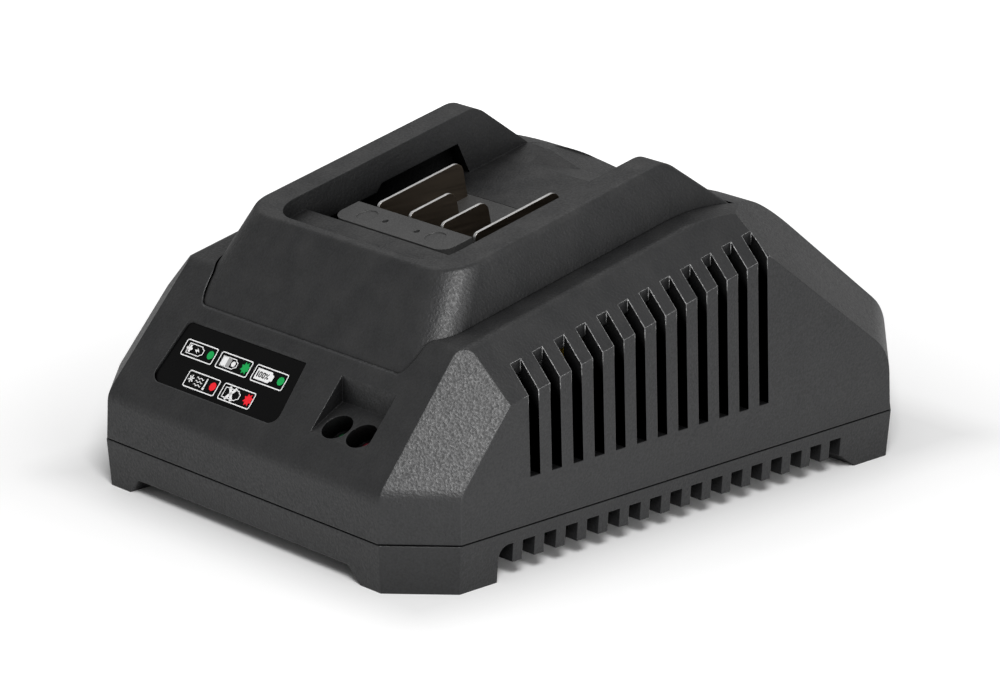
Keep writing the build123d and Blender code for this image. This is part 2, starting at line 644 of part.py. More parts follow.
with BuildPart() as cap:
    add(dock_form(0, RIM_H))
    fillet([edge for edge in cap.edges() if on_rim(edge)], RIM_ROUND)
envelope = cap.part + outer_form

# Screw bosses inside the arms, standing on the deck.
with BuildPart() as dock_bosses:
    with BuildSketch(DECK.offset(-SEAT_DEPTH)):
        with Locations(*dock_spots):
            Circle(DOCK_BOSS / 2)
    extrude(amount=RIM_H)
    add(dock_form(-WALL / 2, RIM_H - WALL / 2), mode=Mode.INTERSECT)

with BuildPart() as battery_dock:
    add(cap.part)
    add(seat_form, mode=Mode.SUBTRACT)
    add(dock_form(-WALL, RIM_H - WALL), mode=Mode.SUBTRACT)
    add(tub_form(0) & envelope)
    add(dock_bosses.part)
    # Shelf behind the front rim, then the bay down to its floor.
    shelf_half = BAY_WIDTH / 2 - BAY_SIDE_RUN * SHELF_DEPTH
    shelf_front = RIM_FRONT_V + RIM_WALL + BAY_SIDE_RUN * SHELF_DEPTH
    with BuildSketch(DECK.offset(shelf_h)):
        with BuildLine():
            FilletPolyline((-shelf_half, shelf_front), (shelf_half, shelf_front),
                           (shelf_half, SHELF_END_V + WALL), (-shelf_half, SHELF_END_V + WALL),
                           radius=(BAY_CORNER, BAY_CORNER, 0, 0), close=True)
        make_face()
    extrude(amount=SHELF_DEPTH, taper=-degrees(atan(BAY_SIDE_RUN)), mode=Mode.SUBTRACT)
    bay_half = BAY_WIDTH / 2 - BAY_SIDE_RUN * BAY_DEPTH
    with BuildSketch(Plane(origin=DECK.origin, x_dir=(1, 0, 0), z_dir=-DECK.y_dir)
                     .offset(-SHELF_END_V)):
        Polygon((-bay_half, bay_h), (bay_half, bay_h), (BAY_WIDTH / 2, RIM_H), (BAY_WIDTH / 2, DECK_Z),
                (-BAY_WIDTH / 2, DECK_Z), (-BAY_WIDTH / 2, RIM_H), align=None)
    extrude(amount=-LENGTH, mode=Mode.SUBTRACT)
    # Undercuts under the rails, higher in their back part.
    with BuildSketch(deck_side(0)):
        lead, rail = RIM_H - RAIL_LEAD_DEPTH, RIM_H - RAIL_DEPTH
        Polygon((RAIL_START_V, bay_h), (RAIL_START_V, lead), (RAIL_STEP_V, lead),
                (RAIL_STEP_V + RAIL_STEP_LENGTH, rail), (RAIL_END_V, rail),
                (RAIL_END_V + RAIL_END_LEAN, bay_h), align=None)
    extrude(amount=BAY_WIDTH / 2 + RAIL_UNDERCUT, both=True, mode=Mode.SUBTRACT)
    # Opening for the terminal block.
    with BuildSketch(DECK.offset(bay_h)):
        v_mid, v_length = span(SHELF_END_V, BLOCK_REAR_V + FIT)
        with Locations((0, v_mid)):
            Rectangle(BLOCK_WIDTH + 2 * FIT, v_length)
    extrude(amount=-2 * BAY_FLOOR, mode=Mode.SUBTRACT)
    # Lead-in scoop in the back edge, running out down the rear slope.
    for v, bed, half in ((SCOOP_V, bay_h, SCOOP_HALF_WIDTH), (DOCK_END_V, scoop_h, SCOOP_BED_HALF_WIDTH),
                         (SCOOP_END_V, scoop_end_h, SCOOP_BED_HALF_WIDTH)):
        flank = SCOOP_REAR_HALF_WIDTH
        with BuildSketch(Plane(origin=DECK.origin, x_dir=(1, 0, 0), z_dir=-DECK.y_dir).offset(-v)):
            Polygon((-half, bed), (half, bed), (flank, bed + SCOOP_DROP), (flank, RIM_H),
                    (-flank, RIM_H), (-flank, bed + SCOOP_DROP), align=None)
    loft(ruled=True, mode=Mode.SUBTRACT)
    with BuildSketch(DECK.offset(-SEAT_DEPTH)):
        with Locations(*dock_spots):
            Circle(SCREW_SHANK / 2)
    extrude(amount=DOCK_SCREW_LENGTH, mode=Mode.SUBTRACT)
save(battery_dock.part, "battery_dock")

# ---------------------------------------------------------------- terminal block and blades
with BuildPart() as terminal_block:
    # Tower in front, flush with the shelf, and a low base between the side channels.
    tower_front = SHELF_END_V + BLOCK_GAP
    with BuildSketch(DECK.offset(block_foot_h)):
        v_mid, v_length = span(tower_front, TOWER_REAR_V)
        with Locations((0, v_mid)):
            Rectangle(BLOCK_WIDTH, v_length)
            fillet(vertices().sort_by(Axis.Y)[:2], BLOCK_CORNER)
    extrude(amount=shelf_h - block_foot_h)
    with BuildSketch(DECK.offset(block_foot_h)):
        v_mid, v_length = span(TOWER_REAR_V - BLOCK_CORNER, BLOCK_REAR_V)
        with Locations((0, v_mid)):
            Rectangle(BLOCK_WIDTH, v_length)
    extrude(amount=BLOCK_BASE)
    # Flange against the underside of the bay floor.
    with BuildSketch(DECK.offset(tub_foot_h)):
        v_mid, v_length = span(tower_front, BLOCK_REAR_V)
        with Locations((0, v_mid)):
            Rectangle(BLOCK_WIDTH + 4 * BLOCK_FLANGE, v_length + 4 * BLOCK_FLANGE)
    extrude(amount=-BLOCK_FLANGE)
    for x, rear in blade_spots:
        with BuildSketch(DECK.offset(bay_h)):
            v_mid, v_length = span(BLADE_FRONT_V, rear)
            with Locations((x, v_mid)):
                Rectangle(BLADE, v_length)
        extrude(amount=-2 * BLOCK_BASE, mode=Mode.SUBTRACT)
    for side in (-1, 1):
        mark_v = span(tower_front, TOWER_REAR_V)[0]
        with BuildSketch(DECK.offset(shelf_h)):
            with Locations((side * MARK_X, mark_v)):
                Circle(MARK_DIAMETER / 2)
        extrude(amount=-MARK_DEPTH, mode=Mode.SUBTRACT)
        with BuildSketch(DECK.offset(shelf_h)):
            with Locations((side * PROBE_X, mark_v)):
                Circle(PROBE_DIAMETER / 2)
        extrude(amount=-PROBE_DEPTH, mode=Mode.SUBTRACT)
save(terminal_block.part, "terminal_block")


def terminal(x, rear):
    """Blade that stands in the block, with a narrow tail for its lead underneath."""
    middle = span(BLADE_FRONT_V, rear)[0]
    tail = BLADE_TAIL_WIDTH / 2
    with BuildPart() as blade:
        with BuildSketch(deck_side(x)):
            with BuildLine():
                FilletPolyline(
                    (BLADE_FRONT_V, block_foot_h), (BLADE_FRONT_V, blade_top_h), (rear, blade_top_h),
                    (rear, block_foot_h), (middle + tail, block_foot_h),
                    (middle + tail, block_foot_h - BLADE_TAIL), (middle - tail, block_foot_h - BLADE_TAIL),
                    (middle - tail, block_foot_h),
                    radius=(0, BLADE_FRONT_ROUND, BLADE_REAR_ROUND, 0, 0, 0, 0, 0), close=True)
            make_face()
        extrude(amount=BLADE / 2, both=True)
    return blade.part


for label, (x, rear) in zip(("positive_terminal", "data_terminal", "temperature_terminal",
                             "negative_terminal"), blade_spots):
    save(terminal(x, rear), label)

# ---------------------------------------------------------------- indicator panel and lamps
with BuildPart() as indicator_label:
    add(panel_outline(FIT))
    extrude(amount=PANEL_THICKNESS)
save(indicator_label.part, "indicator_label")


def lamp(x):
    """Round indicator lamp with a flange, standing on its board under the scoop."""
    with BuildPart() as body:
        with BuildSketch(LAMPS.offset(-lamp_board_h)):
            with Locations((x, 0)):
                Circle(LAMP_FLANGE / 2)
        extrude(amount=LAMP_FLANGE_HEIGHT)
        with BuildSketch(LAMPS.offset(-lamp_board_h)):
            with Locations((x, 0)):
                Circle(LAMP_DIAMETER / 2)
        extrude(amount=LAMP_HEIGHT)
        tip = body.edges().filter_by(GeomType.CIRCLE).sort_by(lambda e: LAMPS.to_local_coords(e.center()).Z)
        fillet(tip[-1], LAMP_DIAMETER / 2 - FIT)
    return body.part


for label, x in zip(("green_indicator_led", "red_indicator_led"), LAMP_X):
    save(lamp(x), label)

with BuildPart() as indicator_board:
    with BuildSketch(LAMPS.offset(-lamp_board_h - BOARD)):
        with Locations((scoop_mid, 0)):
            Rectangle(scoop_length + 2 * LAMP_POST, LAMP_WELL + LAMP_POST)
        with Locations(*[(x, 0) for x in SCOOP_X]):
            Circle(LAMP_PIN / 2 + FIT, mode=Mode.SUBTRACT)
    extrude(amount=BOARD)
save(indicator_board.part, "indicator_board")

# ---------------------------------------------------------------- main board and its components
with BuildPart() as main_circuit_board:
    x_mid, board_width = span(*BOARD_X)
    y_mid, board_length = span(*BOARD_Y)
    with BuildSketch(Plane.XY.offset(board_z)):
        with Locations((x_mid, y_mid)):
            Rectangle(board_width, board_length)
            fillet(vertices(), BOARD_CORNER)
        with Locations(*BOARD_HOLES):
            Circle(SCREW_HOLE / 2, mode=Mode.SUBTRACT)
    extrude(amount=BOARD)
save(main_circuit_board.part, "main_circuit_board")

# Transformer: an upright E core around a wound coil.
with BuildPart() as transformer_core:
    with Locations((*CORE_AT, board_top)):
        Box(*CORE, align=(Align.CENTER, Align.CENTER, Align.MIN))
    with Locations((*CORE_AT, board_top + CORE_LEG)):
        Box(COIL[0], CORE[1], CORE[2] - 2 * CORE_LEG, align=(Align.CENTER, Align.CENTER, Align.MIN),
            mode=Mode.SUBTRACT)
        Box(CORE_LEG * 2, CORE[1], CORE[2] - 2 * CORE_LEG, align=(Align.CENTER, Align.CENTER, Align.MIN))
save(transformer_core.part, "transformer_core")

with BuildPart() as transformer_coil:
    coil_height = CORE[2] - 2 * CORE_LEG
    with BuildSketch(Plane.XY.offset(board_top + CORE_LEG)):
        with Locations(CORE_AT):
            Rectangle(*COIL)
            fillet(vertices(), CORE_LEG)
            Rectangle(CORE_LEG * 2, CORE[1], mode=Mode.SUBTRACT)
    extrude(amount=coil_height)
    # Bobbin feet beside the core, down to the board.
    for side in (-1, 1):
        with Locations((CORE_AT[0], CORE_AT[1] + side * (CORE[1] + COIL[1]) / 4, board_top)):
            Box(COIL[0] - 2 * CORE_LEG, (COIL[1] - CORE[1]) / 2 - WALL, CORE_LEG,
                align=(Align.CENTER, Align.CENTER, Align.MIN))
save(transformer_coil.part, "transformer_coil")


def can_capacitor(x, y, diameter, height):
    """Electrolytic capacitor standing on the board, with a rolled groove and a vented top."""
    with BuildPart() as can:
        with Locations((x, y, board_top)):
            Cylinder(diameter / 2, height, align=(Align.CENTER, Align.CENTER, Align.MIN))
            fillet(can.edges().sort_by(Axis.Z)[-1], CAN_ROUND)
        with Locations((x, y, board_top + CAN_GROOVE_Z)):
            Torus(diameter / 2, CAN_GROOVE, mode=Mode.SUBTRACT)
        with Locations((x, y, board_top + height)):
            Box(diameter * CAN_VENT_SPAN, CAN_VENT, CAN_VENT, mode=Mode.SUBTRACT)
            Box(CAN_VENT, diameter * CAN_VENT_SPAN, CAN_VENT, mode=Mode.SUBTRACT)
    return can.part


save(can_capacitor(*INPUT_CAN), "input_capacitor")
with BuildPart() as output_capacitors:
    for place in OUTPUT_CANS:
        add(can_capacitor(*place))
save(output_capacitors.part, "output_capacitors")


def heat_sink(x, y, length):
    """Upright finned aluminium plate; its flat face looks to the front."""
    with BuildPart() as sink:
        with Locations((x, y, board_top)):
            Box(length, SINK_PLATE, SINK_HEIGHT, align=(Align.CENTER, Align.MIN, Align.MIN))
        pitch = (length - SINK_FIN) / (SINK_FINS - 1)
        for i in range(SINK_FINS):
            with Locations((x - length / 2 + i * pitch, y + SINK_PLATE, board_top)):
                Box(SINK_FIN, SINK_DEPTH, SINK_HEIGHT, align=(Align.MIN, Align.MIN, Align.MIN))
    return sink.part


def tab_package(x, y):
    """Power device with a metal tab, standing on three leads with its back on the plane at y."""
    body_z, tab_z = board_top + LEAD[2], board_top + LEAD[2] + PACKAGE[2]
    with BuildPart() as device:
        with Locations((x, y, body_z)):
            Box(*PACKAGE, align=(Align.CENTER, Align.MAX, Align.MIN))
        with Locations((x, y, tab_z)):
            Box(*PACKAGE_TAB, align=(Align.CENTER, Align.MAX, Align.MIN))
        with Locations((x, y, tab_z + PACKAGE_HOLE_RISE)):
            Cylinder(PACKAGE_HOLE / 2, PACKAGE[1], rotation=(90, 0, 0), mode=Mode.SUBTRACT)
        with Locations(*[(x + i * LEAD_PITCH, y - LEAD_SETBACK, board_top) for i in (-1, 0, 1)]):
            Box(*LEAD, align=(Align.CENTER, Align.CENTER, Align.MIN))
    return device.part


save(heat_sink(*PRIMARY_SINK), "primary_heat_sink")
save(tab_package(*PRIMARY_SINK[:2]), "switching_transistor")
save(heat_sink(*SECONDARY_SINK), "secondary_heat_sink")
save(tab_package(*SECONDARY_SINK[:2]), "output_rectifier")

with BuildPart() as bridge_rectifier:
    with Locations((*BRIDGE_AT, board_top + BRIDGE_LEAD[2])):
        Box(*BRIDGE, align=(Align.CENTER, Align.CENTER, Align.MIN))
    with Locations(*[(BRIDGE_AT[0] + i * BRIDGE_PITCH, BRIDGE_AT[1], board_top)
                     for i in (-1.5, -0.5, 0.5, 1.5)]):
        Box(*BRIDGE_LEAD, align=(Align.CENTER, Align.CENTER, Align.MIN))
save(bridge_rectifier.part, "bridge_rectifier")

with BuildPart() as line_filter_choke:
    with Locations((*CHOKE_AT, board_top)):
        Cylinder(CHOKE_BASE / 2, CHOKE_BASE_HEIGHT, align=(Align.CENTER, Align.CENTER, Align.MIN))
    with Locations((*CHOKE_AT, board_top + CHOKE_RING_Z)):
        Torus(CHOKE_RING_RADIUS, CHOKE_RING / 2)
save(line_filter_choke.part, "line_filter_choke")

with BuildPart() as filter_capacitor:
    with Locations((*FILM_AT, board_top)):
        Box(*FILM, align=(Align.CENTER, Align.CENTER, Align.MIN))
    fillet(filter_capacitor.edges().filter_by(Axis.Z), FILM_ROUND)
save(filter_capacitor.part, "filter_capacitor")

with BuildPart() as mains_fuse:
    with Locations((*FUSE_AT, board_top)):
        Cylinder(FUSE_DIAMETER / 2, FUSE_HEIGHT, align=(Align.CENTER, Align.CENTER, Align.MIN))
    fillet(mains_fuse.edges().sort_by(Axis.Z)[-1], FUSE_ROUND)
save(mains_fuse.part, "mains_fuse")

# ---------------------------------------------------------------- cooling fan, axis along X
FAN_AXIS = Plane(origin=(FAN_X, FAN_Y, fan_z), x_dir=(0, 1, 0), z_dir=(1, 0, 0))
bearing_r = FAN_BEARING / 2
shaft_r = FAN_SHAFT / 2
half_depth = FAN_DEPTH / 2
motor_depth = FAN_DEPTH - FAN_STRUT
with BuildPart() as fan_frame:
    with BuildSketch(FAN_AXIS.offset(-half_depth)):
        Rectangle(FAN, FAN)
        fillet(vertices(), FAN_CORNER)
        Circle(FAN_BORE / 2, mode=Mode.SUBTRACT)
        with GridLocations(FAN - 2 * FAN_HOLE_INSET, FAN - 2 * FAN_HOLE_INSET, 2, 2):
            Circle(FAN_HOLE / 2, mode=Mode.SUBTRACT)
    extrude(amount=FAN_DEPTH)
    # Motor carrier on four struts at the inner side, with the bearing tube.
    with BuildSketch(FAN_AXIS.offset(half_depth - FAN_STRUT)):
        Circle(FAN_HUB / 2)
        Rectangle((FAN + FAN_BORE) / 2, FAN_STRUT)
        Rectangle(FAN_STRUT, (FAN + FAN_BORE) / 2)
        Circle(bearing_r, mode=Mode.SUBTRACT)
    extrude(amount=FAN_STRUT)
    with BuildSketch(FAN_AXIS.offset(half_depth - FAN_STRUT)):
        Circle(FAN_HUB / 2 - FAN_CUP - FAN_STRUT)
        Circle(bearing_r, mode=Mode.SUBTRACT)
    extrude(amount=-motor_depth + 2 * FAN_CUP + FAN_STRUT / 2)
save(fan_frame.part, "fan_frame")

with BuildPart() as fan_bearing:
    with BuildSketch(FAN_AXIS.offset(half_depth)):
        Circle(bearing_r)
        Circle(shaft_r + FAN_RUNNING_FIT, mode=Mode.SUBTRACT)
    extrude(amount=-motor_depth + 2 * FAN_CUP - FAN_STRUT / 2)
save(fan_bearing.part, "fan_bearing")

with BuildPart() as fan_rotor:
    # Cup over the motor carrier, open to the inside.
    cup_face = -half_depth + FAN_TIP_GAP
    with BuildSketch(FAN_AXIS.offset(cup_face)):
        Circle(FAN_HUB / 2)
    extrude(amount=motor_depth - 2 * FAN_TIP_GAP)
    with BuildSketch(FAN_AXIS.offset(cup_face + FAN_CUP)):
        Circle(FAN_HUB / 2 - FAN_CUP)
    extrude(amount=FAN_DEPTH, mode=Mode.SUBTRACT)
    blade_mid = cup_face + (motor_depth - 2 * FAN_TIP_GAP) / 2
    blade_inner, blade_outer = FAN_HUB / 2 - FAN_CUP / 2, FAN_BORE / 2 - FAN_TIP_GAP
    r_mid, r_length = span(blade_inner, blade_outer)
    with Locations(FAN_AXIS.offset(blade_mid)):
        with PolarLocations(r_mid, FAN_BLADES):
            Box(r_length, FAN_BLADE, motor_depth - 2 * FAN_TIP_GAP, rotation=(FAN_BLADE_ANGLE, 0, 0))
    with BuildSketch(FAN_AXIS.offset(-half_depth)):
        Circle(shaft_r)
    extrude(amount=FAN_DEPTH, mode=Mode.SUBTRACT)
save(fan_rotor.part, "fan_rotor")

with BuildPart() as fan_shaft:
    with BuildSketch(FAN_AXIS.offset(cup_face)):
        Circle(shaft_r)
    extrude(amount=FAN_DEPTH - 2 * FAN_TIP_GAP)
save(fan_shaft.part, "fan_shaft")

# ---------------------------------------------------------------- mains inlet
with BuildPart() as mains_inlet:
    outer_width, outer_height = INLET_WIDTH + 2 * INLET_WALL, INLET_HEIGHT + 2 * INLET_WALL
    with BuildSketch(INLET):
        Rectangle(outer_width, outer_height)
    extrude(amount=-INLET_LENGTH)
    with BuildSketch(INLET.offset(-WALL)):
        Rectangle(outer_width + 2 * INLET_EAR, outer_height)
    extrude(amount=-INLET_FLANGE)
    with BuildSketch(INLET):
        SlotOverall(INLET_WIDTH, INLET_HEIGHT)
        Rectangle(INLET_PIN_PITCH, INLET_HEIGHT / 2)
    extrude(amount=-INLET_SOCKET_DEPTH, mode=Mode.SUBTRACT)
    with BuildSketch(INLET):
        with Locations(*[(side * INLET_PIN_PITCH / 2, 0) for side in (-1, 1)]):
            Circle(INLET_PIN / 2)
    extrude(amount=-INLET_LENGTH, mode=Mode.SUBTRACT)
save(mains_inlet.part, "mains_inlet")

with BuildPart() as inlet_pins:
    pin_start = INLET_SOCKET_DEPTH - INLET_PIN_LENGTH
    with BuildSketch(INLET.offset(-pin_start)):
        with Locations(*[(side * INLET_PIN_PITCH / 2, 0) for side in (-1, 1)]):
            Circle(INLET_PIN / 2)
    extrude(amount=-(INLET_LENGTH - pin_start) - INLET_PIN)
save(inlet_pins.part, "inlet_pins")


# ---------------------------------------------------------------- fasteners
def screw(seat, x, y, length):
    """Pan head screw whose head rests on the seat plane and whose shank runs along its normal."""
    with BuildPart() as body:
        with BuildSketch(seat):
            with Locations((x, y)):
                Circle(SCREW_HEAD / 2)
        extrude(amount=-SCREW_HEAD_HEIGHT)
        with BuildSketch(seat):
            with Locations((x, y)):
                Circle(SCREW_SHANK / 2)
        extrude(amount=length)
        with BuildSketch(seat.offset(-SCREW_HEAD_HEIGHT)):
            with Locations((x, y)):
                Rectangle(DRIVE_SPAN, DRIVE_SLOT)
                Rectangle(DRIVE_SLOT, DRIVE_SPAN)
        extrude(amount=SCREW_HEAD_HEIGHT / 2, mode=Mode.SUBTRACT)
    return body.part


def screw_set(seat, spots, length, label):
    """One node for all screws of one kind."""
    with BuildPart() as group:
        for x, y in spots:
            add(screw(seat, x, y, length))
    save(group.part, label)


screw_set(Plane.XY.offset(head_z), screw_spots, HOUSING_SCREW_LENGTH, "housing_screws")
board_seat = Plane(origin=(0, 0, board_top), x_dir=(1, 0, 0), z_dir=(0, 0, -1))
screw_set(board_seat, [(x, -y) for x, y in BOARD_HOLES], BOARD_SCREW_LENGTH, "board_screws")
screw_set(DECK.offset(-WALL), dock_spots, DOCK_SCREW_LENGTH, "dock_screws")
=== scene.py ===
import json
import logging
import math
from dataclasses import dataclass
from enum import Enum
from typing import Callable, Sequence

import bmesh
import bpy
from mathutils import Matrix, Vector

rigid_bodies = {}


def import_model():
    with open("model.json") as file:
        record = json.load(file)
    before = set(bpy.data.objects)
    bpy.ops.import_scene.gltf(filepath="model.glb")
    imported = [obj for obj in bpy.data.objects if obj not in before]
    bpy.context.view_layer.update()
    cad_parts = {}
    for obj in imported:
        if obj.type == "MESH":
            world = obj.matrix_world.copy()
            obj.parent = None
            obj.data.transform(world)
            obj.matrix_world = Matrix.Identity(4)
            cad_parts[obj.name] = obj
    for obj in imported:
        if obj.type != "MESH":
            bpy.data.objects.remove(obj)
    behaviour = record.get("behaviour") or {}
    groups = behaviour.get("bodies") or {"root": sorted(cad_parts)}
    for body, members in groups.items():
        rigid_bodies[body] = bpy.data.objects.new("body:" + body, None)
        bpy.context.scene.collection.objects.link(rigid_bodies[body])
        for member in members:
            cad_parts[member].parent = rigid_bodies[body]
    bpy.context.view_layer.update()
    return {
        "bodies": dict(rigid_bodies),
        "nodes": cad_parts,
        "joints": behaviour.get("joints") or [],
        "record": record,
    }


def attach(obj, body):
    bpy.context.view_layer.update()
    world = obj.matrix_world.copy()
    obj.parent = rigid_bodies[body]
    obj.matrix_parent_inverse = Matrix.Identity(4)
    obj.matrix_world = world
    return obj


LOG = logging.getLogger("charger")
MM = 0.001
HOUSING_BODY = "housing"

Colour = tuple[float, float, float]
Point = tuple[float, float]              # a place in a plane, or two values that go together
Span = tuple[float, float]               # both ends of a range
Node = bpy.types.Node
Socket = bpy.types.NodeSocket
Sockets = bpy.types.bpy_prop_collection
Material = bpy.types.Material
Shape = bmesh.types.BMesh                # in metres, or in millimetres while it lies flat
Input = Socket | tuple[float, ...] | float

BLACK: Colour = (0.0, 0.0, 0.0)
WHITE: Colour = (1.0, 1.0, 1.0)


class Slot(str, Enum):
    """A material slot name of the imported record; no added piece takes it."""

    LABEL = "label_film"


class Along(str, Enum):
    """Axis that a pattern runs along."""

    X = "X"
    Y = "Y"
    Z = "Z"


# ------------------------------------------------------------------ node building
class Graph:
    """Short calls for making and joining shader nodes in one tree."""

    def __init__(self, tree: bpy.types.NodeTree) -> None:
        """Start on an existing node tree.

        Args:
            tree: the material's or group's tree.
        """
        self.tree = tree

    def node(self, kind: str, inputs: dict | None = None, **settings: object) -> Node:
        """Add a node and set or join its inputs.

        Args:
            kind: Blender's node type name.
            inputs: socket name or number to a value or an output socket.
            **settings: attributes of the node.

        Returns:
            The new node.
        """
        made = self.tree.nodes.new(kind)
        for key, value in settings.items():
            setattr(made, key, value)
        self.feed(made, inputs or {})
        return made

    def feed(self, target: Node, inputs: dict) -> None:
        """Set or join a node's inputs.

        Args:
            target: the node.
            inputs: socket name or number to a value or an output socket.
        """
        for key, value in inputs.items():
            if isinstance(value, Socket):
                self.tree.links.new(value, target.inputs[key])
            else:
                target.inputs[key].default_value = value

    def math(self, operation: str, a: Input, b: Input = 0.0, clamp: bool = False) -> Socket:
        """Output of a Math node on two values or sockets.

        Args:
            operation: Blender's name of the operation.
            a: first value or socket.
            b: second value or socket.
            clamp: keep the result between 0 and 1.

        Returns:
            The result's socket.
        """
        return self.node("ShaderNodeMath", {0: a, 1: b}, operation=operation, use_clamp=clamp).outputs[0]

    def spread(self, value: Input, low: float, high: float, to_low: float = 0.0,
               to_high: float = 1.0) -> Socket:
        """Map a range of values linearly onto another one, clamped at both ends.

        Args:
            value: what is mapped.
            low: start of the range it is taken from.
            high: end of that range.
            to_low: result at low.
            to_high: result at high.

        Returns:
            The mapped value's socket.
        """
        return self.node("ShaderNodeMapRange", {0: value, 1: low, 2: high, 3: to_low, 4: to_high}).outputs[0]

    def blend(self, factor: Input, a: Input, b: Input) -> Socket:
        """Colour output of a Mix node between two colours.

        Args:
            factor: 0 gives a, 1 gives b.
            a: first colour or socket.
            b: second colour or socket.

        Returns:
            The mixed colour's socket.
        """
        a, b = ((*value, 1.0) if isinstance(value, tuple) else value for value in (a, b))
        return self.node("ShaderNodeMix", {0: factor, 6: a, 7: b}, data_type="RGBA").outputs[2]

    def coords(self) -> Socket:
        """Object coordinates, which are the row frame in metres."""
        return self.node("ShaderNodeTexCoord").outputs["Object"]

    def normal(self) -> Socket:
        """The surface's own normal."""
        return self.node("ShaderNodeNewGeometry").outputs["Normal"]

    def split(self, vector: Socket) -> Sockets:
        """Outputs X, Y and Z of a vector."""
        return self.node("ShaderNodeSeparateXYZ", {0: vector}).outputs

    def place(self, scale: Sequence[float]) -> Socket:
        """Object coordinates, stretched by a Mapping node.

        Args:
            scale: factors along X, Y and Z.

        Returns:
            The stretched coordinates' socket.
        """
        return self.node("ShaderNodeMapping", {"Vector": self.coords(), "Scale": scale}).outputs[0]

    def noise(self, scale: Input, detail: float = 2.0, where: Socket | None = None) -> Socket:
        """Factor output of a Noise Texture.

        Args:
            scale: cells per metre.
            detail: octaves of finer noise.
            where: coordinates, or None for the object's own.

        Returns:
            The noise value's socket.
        """
        where = self.coords() if where is None else where
        return self.node("ShaderNodeTexNoise", {"Vector": where, "Scale": scale, "Detail": detail}).outputs[0]

    def bump(self, strength: float, distance: float, height: Socket,
             normal: Socket | None = None) -> Socket:
        """Normal output of a Bump node.

        Args:
            strength: share of the effect.
            distance: height of the relief in metres.
            height: the relief.
            normal: the normal below it, or None for the surface's own.

        Returns:
            The bent normal's socket.
        """
        inputs = {"Strength": strength, "Distance": distance, "Height": height}
        if normal is not None:
            inputs["Normal"] = normal
        return self.node("ShaderNodeBump", inputs).outputs[0]


def shader_group(name: str, takes: dict[str, float], gives: dict[str, str],
                 fill: Callable[[Graph, Sockets], dict[str, Input]]) -> bpy.types.NodeTree:
    """Make a shader node group with named sockets.

    Args:
        name: the group's name.
        takes: input names and their defaults.
        gives: output names and their socket types.
        fill: builds the inside on the group's inputs and gives each output's socket by name.

    Returns:
        The group's tree.
    """
    tree = bpy.data.node_groups.new(name, "ShaderNodeTree")
    for label, value in takes.items():
        tree.interface.new_socket(label, in_out="INPUT", socket_type="NodeSocketFloat").default_value = value
    for label, kind in gives.items():
        tree.interface.new_socket(label, in_out="OUTPUT", socket_type=kind)
    graph = Graph(tree)
    inside = fill(graph, graph.node("NodeGroupInput").outputs)
    graph.node("NodeGroupOutput", inside)
    return tree


@dataclass(frozen=True)
class LouvreField:
    """Where the side louvres lie, in metres, mirrored in X; it places the painted black shade in the louvres
    and the painted glints on the fins' rims.
    """

    wall: float = 0.0644                     # half width of the housing at the knee
    knee: float = 0.0559                     # height of the knee at the middle of the housing
    knee_rise: float = 0.2071                # of the knee per metre towards the back
    flank_rise: float = 0.983                # of the roof flank per metre inwards
    flank_lean: float = 0.7                  # distance square to the flank per metre straight down
    middle: float = -0.0109                  # of the row, along Y
    half_length: Span = (0.0415, 0.0425)
    wall_inside: Span = (0.0570, 0.0582)     # inner face of the side wall
    rim_inside: Span = (0.0540, 0.0560)      # inner end of the slots in the roof flank
    foot: Span = (0.0242, 0.0246)            # lower end of the slots
    rim_depth: Span = (0.0010, 0.0022)
    facing_along: Span = (0.80, 0.95)        # how far a fin's flank looks along Y


